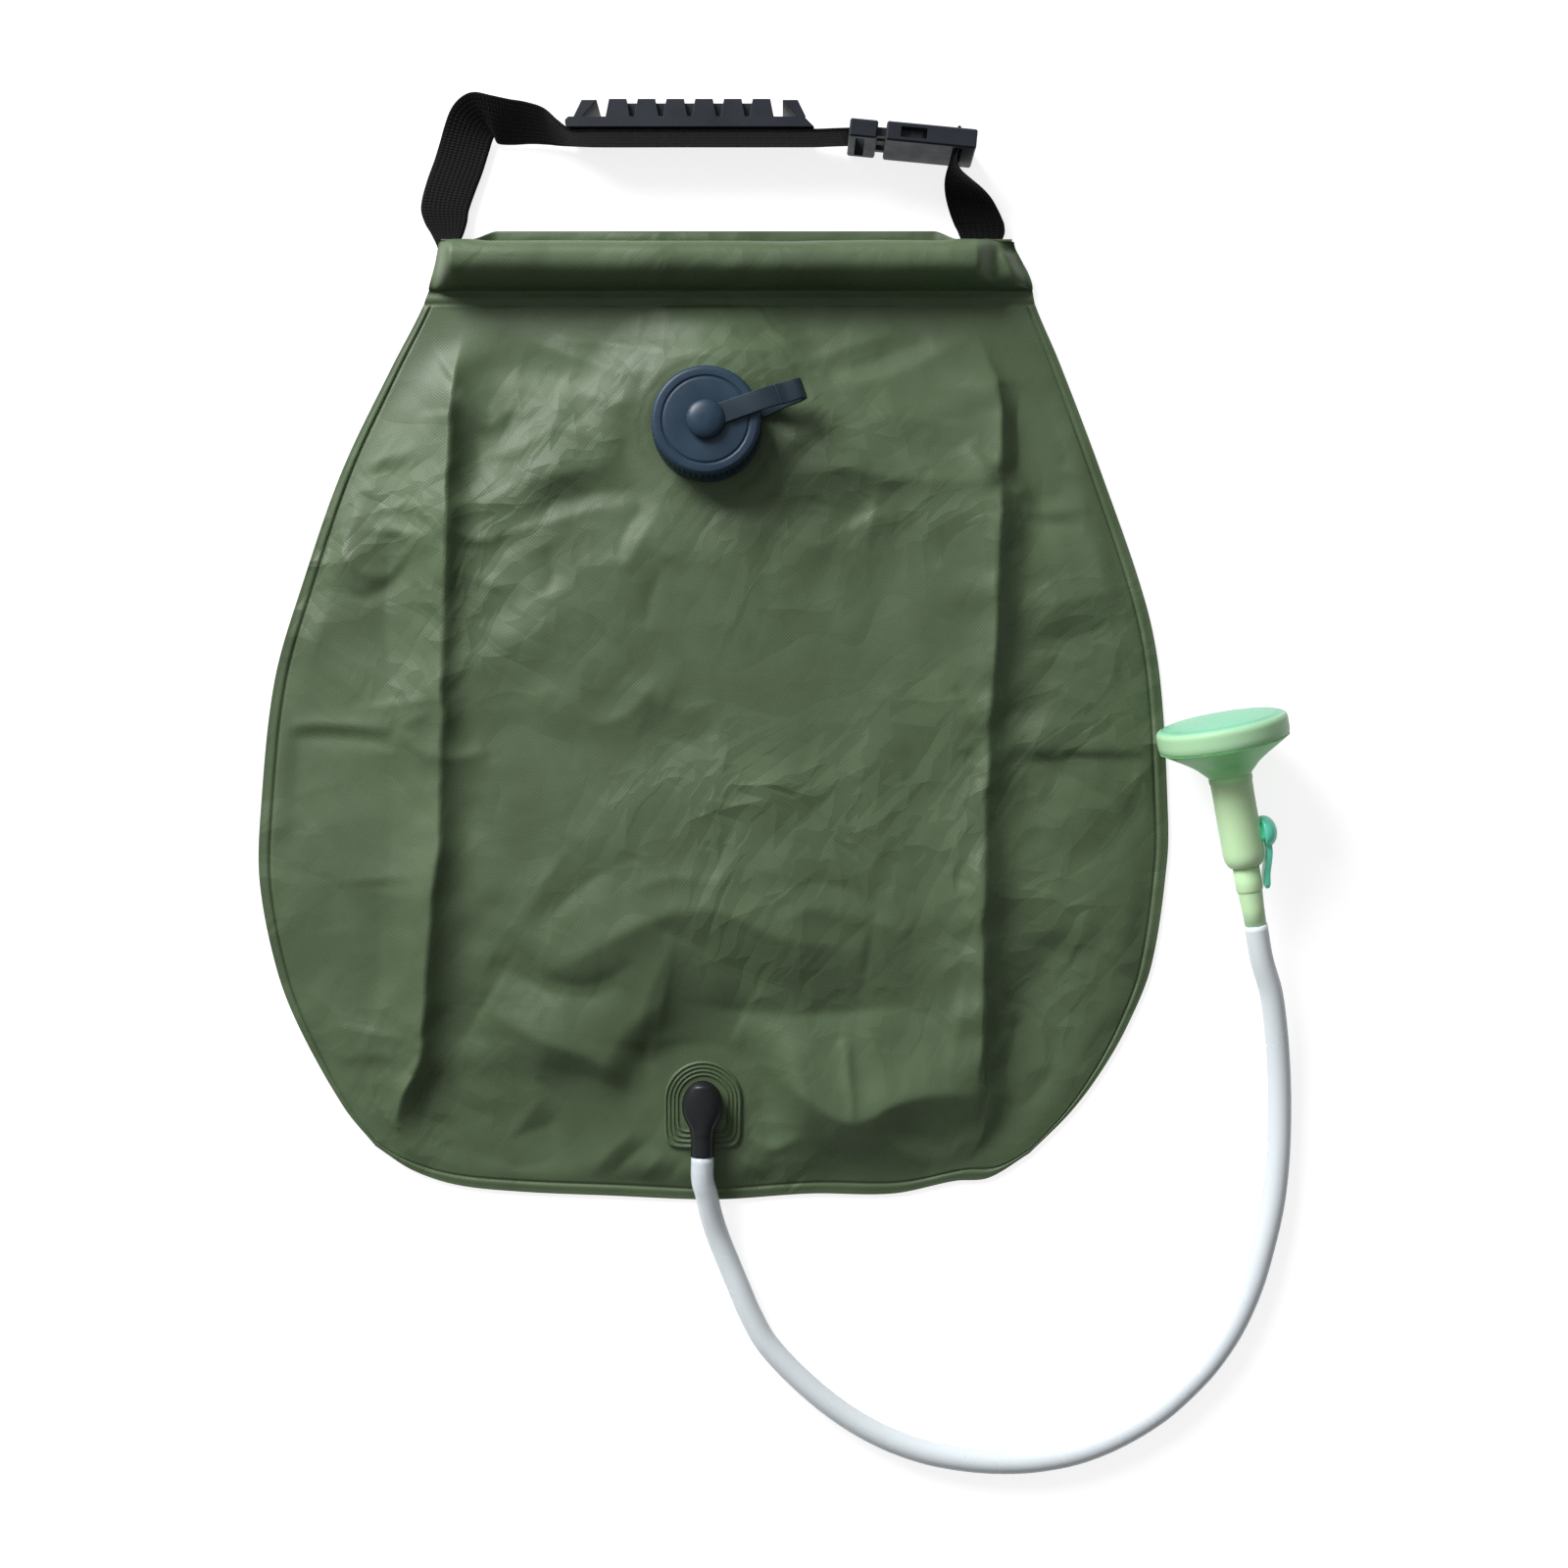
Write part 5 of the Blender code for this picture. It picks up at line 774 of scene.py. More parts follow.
band_y = np.linspace(BLADDER_TOP, SLEEVE_Y - SLEEVE_HALF - SHEET, 10)[1:-1, None]
band_x = across_x(band_y, sleeve_across)
groove = peak(band_y, BAND_WELD_Y, BAND_WELD_REACH) - 0.5 * peak(band_y, BAND_PUFF_Y, BAND_PUFF_REACH)
band_y = band_y + 0 * band_x
band_z = WELD_LEVEL + SHEET + BAND_LIFT - BAND_GROOVE * groove
band_z = band_z + BAND_RIPPLE * rumple(band_x, band_y, 0.012, 31)

turn = np.linspace(0, math.pi, 44)[:, None]
reach = signed_power(np.cos(turn), 0.8)
arch_y = SLEEVE_Y - SLEEVE_REACH * reach
arch_x = across_x(arch_y, sleeve_across)
arch_y = arch_y + 0 * arch_x
beyond_tube = ease(np.abs(arch_x - SLEEVE_MIDDLE) - TUBE_HALF, *BEYOND_TUBE)
foot = mix(WELD_LEVEL, mix(WELD_LEVEL, CORNER_LEVEL, corner_share(arch_x)), turn / math.pi)
edge_gap = np.minimum(arch_x - arch_x[:, :1], arch_x[:, -1:] - arch_x)
crest = mix(SLEEVE_CREST, mix(EDGE_CREST, CORNER_CREST, ease(edge_gap, 0, 0.011)), beyond_tube)
arch_z = mix(foot, crest, np.abs(np.sin(turn)) ** 0.9) + SHEET
sag = (1 + rumple(arch_x, arch_y, 0.024, 12)) * SLEEVE_SAG
puckers = PUCKERS * rumple(arch_x, arch_y, 0.009, 17)
puckers = puckers + FINE_PUCKERS * rumple(arch_x, arch_y, 0.0036, 18)
sag = sag + beyond_tube * puckers
arch_z = arch_z + sag * np.sin(turn)
arch_y = arch_y - reach * sag * 1.2

lip_top = mix(HALF_LENGTH, HALF_LENGTH - CORNER_DROP, corner_share(arch_x[-1]))
lip_share = np.linspace(0, 1, 7)[1:, None]
lip_y = mix(arch_y[-1], np.maximum(lip_top, arch_y[-1] + 0.0006), lip_share)
lip_x = across_x(LIP_Y, sleeve_across) + 0 * lip_y
lip_z = arch_z[-1] + 0.0004 * np.sin(lip_share * math.pi) * (1 + rumple(lip_x, lip_y, 0.02, 8))
front_grid = np.concatenate((
    places(front_x, front_y, front_z), places(band_x, band_y, band_z),
    places(arch_x, arch_y, arch_z), places(lip_x, lip_y, lip_z),
))
drop = np.array((0, 0, SHEET))
front_grid = np.concatenate((front_grid[:, :1] - drop, front_grid, front_grid[:, -1:] - drop), axis=1)
front_grid = np.concatenate((front_grid[:1] - drop, front_grid, front_grid[-1:] - drop), axis=0)
front = surface("front_cloth", front_grid, facing=(0, 0, 1))
dress(front, cloth, "bag", "bag_pvc", "front_sheet")


# Spreader tube and sleeve webbing
# A white extruded tube keeps the bag's mouth wide. The handle's webbing is bunched up to pass
# through it, and comes out flat again at the sleeve's two corners.
FLAT = (0.0254, 0.0018)
SELVEDGE_ROLL = 0.18
BUNCHED = (0.0062, 0.0060)


def refinish(material, *nodes):
    """Gives solids that are shown as they are a finish of their own."""
    for name in nodes:
        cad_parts[name].data.materials.clear()
        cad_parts[name].data.materials.append(material)


def extruded_white():
    """Chalky white tube with faint lines along its length."""
    material, tree, shader = finish("extruded_white", (0.72, 0.72, 0.70), 0.42)
    place = node(tree, "TexCoord", output=3)
    drawn = node(tree, "Mapping", Vector=place, Scale=(4, 160, 160))
    bumped(tree, shader, noise(tree, drawn, 6.0, 3.0), 0.0001, 0.4)
    return material


def woven_webbing():
    """Black ribbed webbing: ribs across, yarns along, a rolled selvedge on both edges."""
    material, tree, shader = finish(
        "woven_webbing", (0.008, 0.008, 0.010), 0.78, Specular_IOR_Level=0.15,
        Sheen_Weight=0.03, Sheen_Roughness=0.4,
    )
    walked = node(tree, "UVMap", settings={"uv_map": "walked"})
    ribs, yarns = bands(tree, walked, "Y", 215.0, 0.5), bands(tree, walked, "X", 140.0, 0.8)
    weave = worked(tree, "MULTIPLY", ribs, yarns)
    fuzz = noise(tree, walked, 1800.0, 2.0)
    height = node(tree, "Math", settings={"operation": "MULTIPLY_ADD"}, i0=fuzz, i1=0.3, i2=weave)
    bumped(tree, shader, height, 0.00035, 0.9)
    tree.links.new(grey(tree, ranged(tree, weave, 0.002, 0.009)), shader.inputs["Base Color"])
    return material


def webbing_strip(name, stations, count, sides=56):
    """A strap along stations of place, direction across, width and thickness.

    A station that ends with its direction has the width and thickness of flat webbing.
    Its section is a flattened round: the cosine to the power 0.22 across the width and the sine
    to the power 0.7 through the thickness, with their signs kept and each edge rolled thicker.
    """
    table = along_stations([(*station, *FLAT)[:8] for station in stations], count)
    path, across = table[:, :3], unit(table[:, 3:6])
    through = unit(np.cross(unit(np.gradient(path, axis=0)), across))
    turn = full_turn(sides)[None, :, None]
    wide, deep = signed_power(np.cos(turn), 0.22), signed_power(np.sin(turn), 0.7)
    width, thickness = table[:, 6, None, None] / 2, table[:, 7, None, None] / 2
    selvedge = 1 + SELVEDGE_ROLL * peak(np.abs(wide), 0.93, 0.05)
    points = path[:, None] + wide * width * across[:, None] + deep * selvedge * thickness * through[:, None]
    return surface(name, points, around=True, ends=True)


white = extruded_white()
webbing = woven_webbing()
refinish(white, "spreader_tube")
bunch_route = [
    (-0.1240, 0.2280, 0.0063, 0, 1, 0, *BUNCHED),
    (-0.0800, 0.2285, 0.0062, 0, 1, 0, *BUNCHED),
    (0.0, 0.2278, 0.0062, 0, 1, 0, *BUNCHED),
    (0.0800, 0.2284, 0.0062, 0, 1, 0, *BUNCHED),
    (0.1262, 0.2280, 0.0063, 0, 1, 0, *BUNCHED),
]
bunch = webbing_strip("sleeve_webbing", bunch_route, 60, 32)
dress(bunch, webbing, "bag", "webbing_black", "sleeve_strap")


# Filler: neck, tether and screw cap
# Blue-grey mouldings. The neck is welded under the front sheet, the cap screws down on it over
# a soft ring, and a strap from the neck's collar folds back over the cap to a domed button.
CAP_RADIUS = 0.0273
CAP_BOTTOM = 0.0178
CAP_TOP = 0.0351
NECK_TOP = 0.0305
TETHER_TURN = math.radians(19.5)
TETHER_ALONG = np.array((math.cos(TETHER_TURN), math.sin(TETHER_TURN), 0.0))
TETHER_ACROSS = np.array((-TETHER_ALONG[1], TETHER_ALONG[0], 0.0))
FILLER_AXIS = np.array((*FILLER, 0.0))
TETHER_WIDTH = 0.0105
TETHER_THICKNESS = 0.002
HINGE_REACH, HINGE_Z = 0.046, 0.0218
CURL_RADIUS = 0.0046
ON_AXIS = 0.0003


def turned(name, profile, sides=96, centre=(0, 0, 0), axes=None, ribs=None):
    """A turned piece: a profile of radius and height carried round an axis.

    The radius may swing with the angle, by a share of the ribs' depth at each profile point.
    A profile that starts and ends off the axis closes on itself.
    """
    profile = np.asarray(profile, float)
    angle = full_turn(sides)[None, :]
    radius = profile[:, 0, None]
    if ribs is not None:
        radius = radius + ribs(angle) * profile[:, 2, None]
    local = places(radius * np.cos(angle), radius * np.sin(angle), profile[:, 1, None])
    axes = np.eye(3) if axes is None else np.asarray(axes)
    ring = profile[0, 0] > ON_AXIS
    return surface(name, local @ axes + np.asarray(centre), around=True, along=ring, ends=not ring)


def rounded_profile(corners, radius, steps=4):
    """A profile with its corners rounded off: each corner gives way to a quadratic arc
    between the points one radius, or at most 0.45 of the side, along its two sides."""
    corners = np.asarray(corners, float)
    before, after = np.roll(corners, 1, axis=0), np.roll(corners, -1, axis=0)
    to_before, to_after = before - corners, after - corners
    length_before = np.linalg.norm(to_before[:, :2], axis=1, keepdims=True)
    length_after = np.linalg.norm(to_after[:, :2], axis=1, keepdims=True)
    start = corners + to_before * np.minimum(radius / length_before, 0.45)
    end = corners + to_after * np.minimum(radius / length_after, 0.45)
    share = np.linspace(0, 1, steps)[None, :, None]
    arc = start[:, None] * (1 - share) ** 2 + 2 * corners[:, None] * share * (1 - share)
    arc = arc + end[:, None] * share ** 2
    return arc.reshape(-1, corners.shape[1])


def moulding(name, colour, roughness, grain=420.0, relief=0.00006, fade=None, **sockets):
    """Moulded plastic: fine spark-eroded grain, faint flow clouds and rubbed patches.

    It may fade to a second colour, between two distances along a direction.
    """
    material, tree, shader = finish(name, colour, roughness, **sockets)
    place = node(tree, "TexCoord", output=3)
    fine, rubbed = noise(tree, place, grain, 4.0, 0.6), noise(tree, place, 55.0, 5.0, 0.65)
    shine = ranged(tree, rubbed, roughness * 0.82, roughness * 1.22, 0.3, 0.7)
    tree.links.new(shine, shader.inputs["Roughness"])
    tint = shaded(tree, colour, ranged(tree, rubbed, 0.90, 1.12, 0.3, 0.7))
    if fade is not None:
        toward, far_colour, near, far = fade
        away = measured(tree, "DOT_PRODUCT", place, tuple(toward))
        tint = mixed(tree, ranged(tree, away, 0.0, 1.0, near, far), tint, (*far_colour, 1))
    tree.links.new(tint, shader.inputs["Base Color"])
    bumped(tree, shader, fine, relief, 0.6)
    return material


cap_grey = moulding("cap_plastic", (0.017, 0.040, 0.070), 0.42, Specular_IOR_Level=0.4)
tether_grey = moulding("tether_rubber", (0.017, 0.034, 0.050), 0.48, Specular_IOR_Level=0.4)
seal_grey = moulding("seal_rubber", (0.20, 0.20, 0.20), 0.7)


def square_ring(name, outer, inner, top, bottom, rounding, **placing):
    """A ring whose section is a rectangle with rounded corners."""
    corners = [(outer, top), (outer, bottom), (inner, bottom), (inner, top)]
    return turned(name, rounded_profile(corners, rounding), **{"centre": FILLER_AXIS, **placing})


neck_corners = [
    (0.0235, NECK_TOP), (0.0235, 0.0129), (0.0300, 0.0129),
    (0.0300, 0.0114), (0.0200, 0.0114), (0.0200, NECK_TOP),
]
neck = turned("filler_neck_ring", rounded_profile(neck_corners, 0.0006), centre=FILLER_AXIS)
dress(neck, cap_grey, "bag", "cap_grey", "filler_neck")
collar = square_ring("tether_collar_ring", 0.0278, 0.0238, 0.0163, 0.0143, 0.0006)
dress(collar, tether_grey, "bag", "tether_grey", "tether_collar")
gasket = square_ring("cap_seal", 0.0235, 0.0185, 0.0324, 0.0308, 0.0004)
dress(gasket, seal_grey, "cap", "seal_grey", "cap_gasket")

CAP_RIB_COUNT = 56
CAP_RIB_CREST, CAP_RIB_DEPTH = 0.0003, 0.0011
CAP_GROOVE = CAP_TOP - 0.0006
cap_corners = [
    (0.0036, CAP_TOP, 0), (0.0207, CAP_TOP, 0), (0.0210, CAP_GROOVE, 0), (0.0218, CAP_GROOVE, 0),
    (0.0221, CAP_TOP, 0), (0.0256, CAP_TOP, 0), (0.0271, CAP_TOP - 0.0016, 0),
    (0.0270, CAP_TOP - 0.0030, 1), (0.0270, CAP_BOTTOM + 0.0030, 1),
    (CAP_RADIUS, CAP_BOTTOM + 0.0014, 0), (CAP_RADIUS, CAP_BOTTOM, 0),
    (0.0245, CAP_BOTTOM, 0), (0.0245, 0.0327, 0), (0.0036, 0.0327, 0),
]


def rib_wave(angle):
    """The cap's ribs: a narrow raised crest per rib, as a power of a cosine."""
    crest = (0.5 + 0.5 * np.cos(angle * CAP_RIB_COUNT)) ** 1.5
    return CAP_RIB_CREST - CAP_RIB_DEPTH * (1 - crest)


cap_profile = rounded_profile(cap_corners, 0.0007)
cap = turned("cap_shell", cap_profile, sides=CAP_RIB_COUNT * 10, centre=FILLER_AXIS, ribs=rib_wave)
dress(cap, cap_grey, "cap", "cap_grey", "screw_cap")
button_dome = [
    (0.0002, 0.0405), (0.0030, 0.0404), (0.0058, 0.0399),
    (0.0079, 0.0391), (0.0091, 0.0382), (0.0095, 0.0377),
]
button_under = [
    (0.0093, 0.0377), (0.0032, 0.0377), (0.0032, 0.0330),
    (0.0045, 0.0324), (0.0032, 0.0312), (0.0002, 0.0312),
]
button_profile = np.concatenate((smooth_route(button_dome, 24), button_under))
button = turned("button_dome", button_profile, centre=FILLER_AXIS)
dress(button, cap_grey, "tether", "cap_grey", "cap_button")


def tether_place(reach, height):
    """A place on the tether's middle line, from its distance out from the filler's axis."""
    return tuple(FILLER_AXIS + TETHER_ALONG * reach + (0, 0, height))


curl = [
    (HINGE_REACH + CURL_RADIUS * math.cos(turn), HINGE_Z + CURL_RADIUS * (1 + math.sin(turn)))
    for turn in np.linspace(-math.pi / 2, math.pi / 2, 9)
]
loop_route = [
    (0.0262, 0.0153), (0.0300, 0.0155), (0.0340, 0.0175), (0.0380, 0.0203), (0.0420, 0.0216),
    *curl, (0.0413, 0.0318), (0.0370, 0.0340),
]
arm_route = [
    (0.0370, 0.0340), (0.0325, 0.0356), (0.0275, 0.0364),
    (0.0200, 0.0364), (0.0130, 0.0364), (0.0060, 0.0364),
]


def tether_run(name, route, *nodes):
    """A run of the tether along its route, left to bend between two bodies."""
    stations = [
        (*tether_place(reach, height), *TETHER_ACROSS, TETHER_WIDTH, TETHER_THICKNESS)
        for reach, height in route
    ]
    strip = webbing_strip(name, stations, 70, 40)
    dress(strip, tether_grey, None, "tether_grey", *nodes)
    return strip


tether_loop = tether_run("tether_loop", loop_route, "tether_strap", "tether_bend")
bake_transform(tether_loop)
tether_top = tether_run("tether_top", arm_route, "tether_arm")
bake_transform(tether_top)
ring = square_ring("tether_ring", 0.0089, 0.0036, 0.0374, 0.0354, 0.0005)
dress(ring, tether_grey, "tether", "tether_grey")


# Outlet: patch, elbow and barb
# An arch-shaped PVC patch with four raised ridges is welded round the outlet. A black elbow
# pushes over the spigot and turns the water towards the bottom edge and into the hose.
PATCH_TOP = 0.0076
PATCH_HALF, PATCH_FOOT = 0.01975, 0.0247
PATCH_RIDGES = (0.95, 0.85, 0.75, 0.65)
PATCH_RIDGE_HEIGHT, PATCH_RIDGE_REACH = 0.0009, 0.022
PATCH_CORNER_POWER = 7
PATCH_HOLE, PATCH_RINGS = 0.25, 90
PATCH_LIFT, PATCH_EDGE_DROP = 0.0002, 0.0009
ELBOW_HALF_WIDTH, ELBOW_HALF_LENGTH, ELBOW_MIDDLE = 0.01035, 0.01255, -0.00175
ELBOW_BOTTOM = 0.0079
ELBOW_TOP_Y, SPOUT_TOP_Y, ELBOW_FOOT_Y, SPOUT_END_Y = 0.01075, -0.004, -0.0143, -0.0273
ELBOW_MERGE_POWER = 6
SPOUT_RADIUS, SPOUT_SWELL, SPOUT_HALF_HEIGHT = 0.0060, 0.0007, 0.0062
NOZZLE_Z = 0.0142
patch_turn = full_turn(160)
patch_reach = np.stack((np.cos(patch_turn), np.sin(patch_turn)), axis=-1)
corner_round = np.abs(np.cos(patch_turn)) ** PATCH_CORNER_POWER
corner_round = corner_round + np.abs(np.sin(patch_turn) * PATCH_HALF / PATCH_FOOT) ** PATCH_CORNER_POWER
corner_round = corner_round ** (-1 / PATCH_CORNER_POWER)
patch_edge = np.where(patch_turn > math.pi, corner_round, 1.0)[:, None] * patch_reach * PATCH_HALF
rings = np.concatenate((np.linspace(1, PATCH_HOLE, PATCH_RINGS), [PATCH_HOLE]))
ridge = sum(peak(rings, place, PATCH_RIDGE_REACH) for place in PATCH_RIDGES)
lift = PATCH_LIFT + PATCH_RIDGE_HEIGHT * ridge
lift[0], lift[-1] = -PATCH_EDGE_DROP, -PATCH_EDGE_DROP
patch_grid = places(
    OUTLET[0] + rings[:, None] * patch_edge[:, 0], OUTLET[1] + rings[:, None] * patch_edge[:, 1],
    (PATCH_TOP - PATCH_LIFT + lift)[:, None],
)
patch = surface("outlet_arch", patch_grid, around=True, facing=(0, 0, 1))
dress(patch, cloth, "bag", "bag_pvc", "outlet_patch")

outlet_black = moulding("outlet_plastic", (0.010, 0.011, 0.013), 0.36)
elbow_y = np.concatenate((np.linspace(ELBOW_TOP_Y, 0.0085, 8), np.linspace(0.0080, SPOUT_END_Y, 60)))
oval = 1 - ((elbow_y - ELBOW_MIDDLE) / ELBOW_HALF_LENGTH) ** 2
oval = np.sqrt(np.clip(oval, 0.0009, 1)) * ELBOW_HALF_WIDTH
spout = SPOUT_RADIUS + SPOUT_SWELL * (1 - ease(-elbow_y, 0.012, 0.019))
spout = np.where(elbow_y > SPOUT_TOP_Y, 0.0, spout)
half_width = oval * (elbow_y > ELBOW_FOOT_Y)
half_width = half_width ** ELBOW_MERGE_POWER + spout ** ELBOW_MERGE_POWER
half_width = half_width ** (1 / ELBOW_MERGE_POWER)
half_height = np.minimum(half_width * 0.98, SPOUT_HALF_HEIGHT)
section = full_turn(64)
elbow_grid = places(
    OUTLET[0] + half_width[:, None] * np.cos(section), OUTLET[1] + elbow_y[:, None],
    np.maximum(NOZZLE_Z + half_height[:, None] * np.sin(section), ELBOW_BOTTOM),
)
elbow = surface("elbow_shell", elbow_grid, around=True, ends=True)
dress(elbow, outlet_black, "bag", "outlet_black", "outlet_elbow")
refinish(outlet_black, "outlet_spigot", "hose_barb")


# Shower head
# Light green, glossy mouldings: a flared shell with its rim, a spray face pushed into it, and
# a tapered tail that the hose goes over. A teal stopcock turns in a bore across the handle.
HEAD_AXES = np.array((HEAD_RIGHT, HEAD_DOWN, HEAD_FACING))
SPRAY_DOME = 0.0022
SPRAY_RADIUS = 0.0288
COCK_AT = 0.0593
KNOB_RADIUS = 0.0080
KNOB_DOME_START, KNOB_DOME_RISE = 0.0123, 0.0058
JET_SPACING = 0.0078
face_depth = float(HEAD_FACE @ HEAD_FACING)
# One green plastic for shell and tail, given two colours that fade into each other between 24 and 33 mm
# behind the spray face: the flare a deeper, more saturated green and the handle and tail a paler one. The
# difference is painted light and shade, not two plastics: painted shade on the flare, which faces away from
# the lamp, and painted light on the handle.
head_green = moulding(
    "head_plastic_painted_light_and_shade", (0.36, 0.98, 0.38), 0.42, grain=90.0, relief=0.000008, Specular_IOR_Level=0.25,
    Subsurface_Weight=0.3, Subsurface_Scale=0.012,
    fade=(-HEAD_FACING, (0.68, 0.99, 0.58), 0.024 - face_depth, 0.033 - face_depth),
)
rim_green = moulding(
    "rim_plastic", (0.20, 0.50, 0.33), 0.40, grain=90.0, relief=0.000008, Specular_IOR_Level=0.3,
    fade=(-HEAD_FACING, (0.46, 0.76, 0.46), 0.0004 - face_depth, 0.0020 - face_depth),
)
teal = moulding(
    "stopcock_plastic", (0.19, 0.92, 0.66), 0.28, grain=160.0, relief=0.00004,
    Coat_Weight=0.25, Coat_Roughness=0.15,
)


def dome_level(radius):
    """How far the spray face stands out: its dome, times one less the square of the share of its
    radius."""
    return SPRAY_DOME * (1 - (radius / SPRAY_RADIUS) ** 2)


rim_corners = [
    (SPRAY_RADIUS, -0.0001), (0.0300, -0.0007), (0.0314, -0.0012), (0.0322, -0.0030),
    (0.0322, -0.0092), (0.0316, -0.0116), (0.0302, -0.0116), (0.0302, -0.0025),
]
dome_radius = np.linspace(0.0002, SPRAY_RADIUS * 0.97, 16)
dome_profile = np.stack((dome_radius, dome_level(dome_radius)), axis=-1)
rim_round = rounded_profile(rim_corners, 0.0013, 5)
rim_profile = np.concatenate((dome_profile, rim_round, [(0.0002, -0.0021)]))
rim = turned("spray_face", rim_profile, 128, HEAD_FACE, HEAD_AXES)
dress(rim, rim_green, "bag", "head_green", "rose_cap")
seal = square_ring("spray_seal", 0.0299, 0.0263, -0.0028, -0.0038, 0.0003, centre=HEAD_FACE, axes=HEAD_AXES)
dress(seal, seal_grey, "bag", "seal_grey", "rose_gasket")

flare = [
    (0.0318, -0.0119), (0.0300, -0.0131), (0.0262, -0.0156), (0.0208, -0.0190),
    (0.0160, -0.0225), (0.0127, -0.0258), (0.0104, -0.0283),
]
shell_outer = [
    (0.0104, -0.0284), (0.0107, -0.0289), (0.0107, -0.0310), (0.0103, -0.0316), (0.0102, -0.0400),
    (0.0102, -0.0560), (0.0102, -0.0668), (0.0101, -0.0690), (0.0096, -0.0714), (0.0088, -0.0732),
    (0.0079, -0.0743), (0.0072, -0.0745),
]
shell_inner = [
    (0.0056, -0.0745), (0.0056, -0.0668), (0.0045, -0.0660), (0.0045, -0.0300), (0.0090, -0.0240),
    (0.0200, -0.0165), (0.0280, -0.0122), (0.0284, -0.0045), (0.0299, -0.0045), (0.0299, -0.0119),
]
shell_profile = np.concatenate((smooth_route(flare, 30), shell_outer, shell_inner))
shell = turned("head_body", shell_profile, 128, HEAD_FACE, HEAD_AXES)
dress(shell, head_green, "bag", "head_green", "head_shell")

tail_profile = [
    (0.0026, -0.0680), (0.0053, -0.0680), (0.0053, -0.0747), (0.0062, -0.0748), (0.0066, -0.0752),
    (0.0066, -0.0866), (0.0064, -0.0872), (0.0061, -0.0875), (0.0061, -0.0878), (0.0056, -0.0960),
    (0.0053, -0.1046), (0.0050, -0.1048), (0.0037, -0.1049), (0.0039, -0.1085), (0.0034, -0.1092),
    (0.0039, -0.1125), (0.0033, -0.1157), (0.0026, -0.1158),
]
tail = turned("head_tail_piece", tail_profile, 96, HEAD_FACE, HEAD_AXES)
dress(tail, head_green, "bag", "head_green", "head_tail")
refinish(seal_grey, "tail_washer")

cock_centre = HEAD_FACE - HEAD_FACING * COCK_AT
dome_turn = np.linspace(0.02, math.pi / 2, 14)
knob_dome = np.stack(
    (KNOB_RADIUS * np.sin(dome_turn), KNOB_DOME_START + KNOB_DOME_RISE * np.cos(dome_turn)), axis=-1,
)
knob_stem = [
    (KNOB_RADIUS, 0.0110), (0.0078, 0.0108), (0.0047, 0.0108), (0.0047, -0.0086), (0.0002, -0.0086),
]
knob_profile = np.concatenate((knob_dome, knob_stem))
knob = turned("stopcock_knob", knob_profile, 64, cock_centre, (-HEAD_FACING, HEAD_DOWN, HEAD_RIGHT))
dress(knob, teal, "stopcock", "stopcock_teal", "stopcock")
lever_route = [
    (0.002, 0.0128, 0.0060, 0.0030), (0.010, 0.0124, 0.0068, 0.0030), (0.0155, 0.0110, 0.0070, 0.0030),
    (0.021, 0.0094, 0.0070, 0.0030), (0.0265, 0.0087, 0.0064, 0.0028), (0.0283, 0.0087, 0.0040, 0.0016),
]
lever_stations = [
    (*(cock_centre - HEAD_FACING * reach + HEAD_RIGHT * out), *HEAD_DOWN, width, thick)
    for reach, out, width, thick in lever_route
]
lever = webbing_strip("stopcock_lever", lever_stations, 50, 40)
dress(lever, teal, "stopcock", "stopcock_teal")

nozzle_profile = np.array([(0.0006, -0.0006), (0.0006, 0.00002), (0.0005, 0.00006), (0.0002, 0.00007)])
nozzle_spots = [(0.0, 0.0)] + [
    (ring * JET_SPACING * math.cos(angle), ring * JET_SPACING * math.sin(angle))
    for ring in (1, 2, 3) for angle in full_turn(6 * ring)
]
nozzle_angle = full_turn(12)
for index, (right, down) in enumerate(nozzle_spots):
    one = places(
        right + nozzle_profile[:, 0, None] * np.cos(nozzle_angle),
        down + nozzle_profile[:, 0, None] * np.sin(nozzle_angle),
        nozzle_profile[:, 1, None] + dome_level(math.hypot(right, down)),
    )
    spot = surface("spray_jet_%02d" % index, one @ HEAD_AXES + HEAD_FACE, around=True, ends=True)
    dress(spot, rim_green, "bag", "head_green")


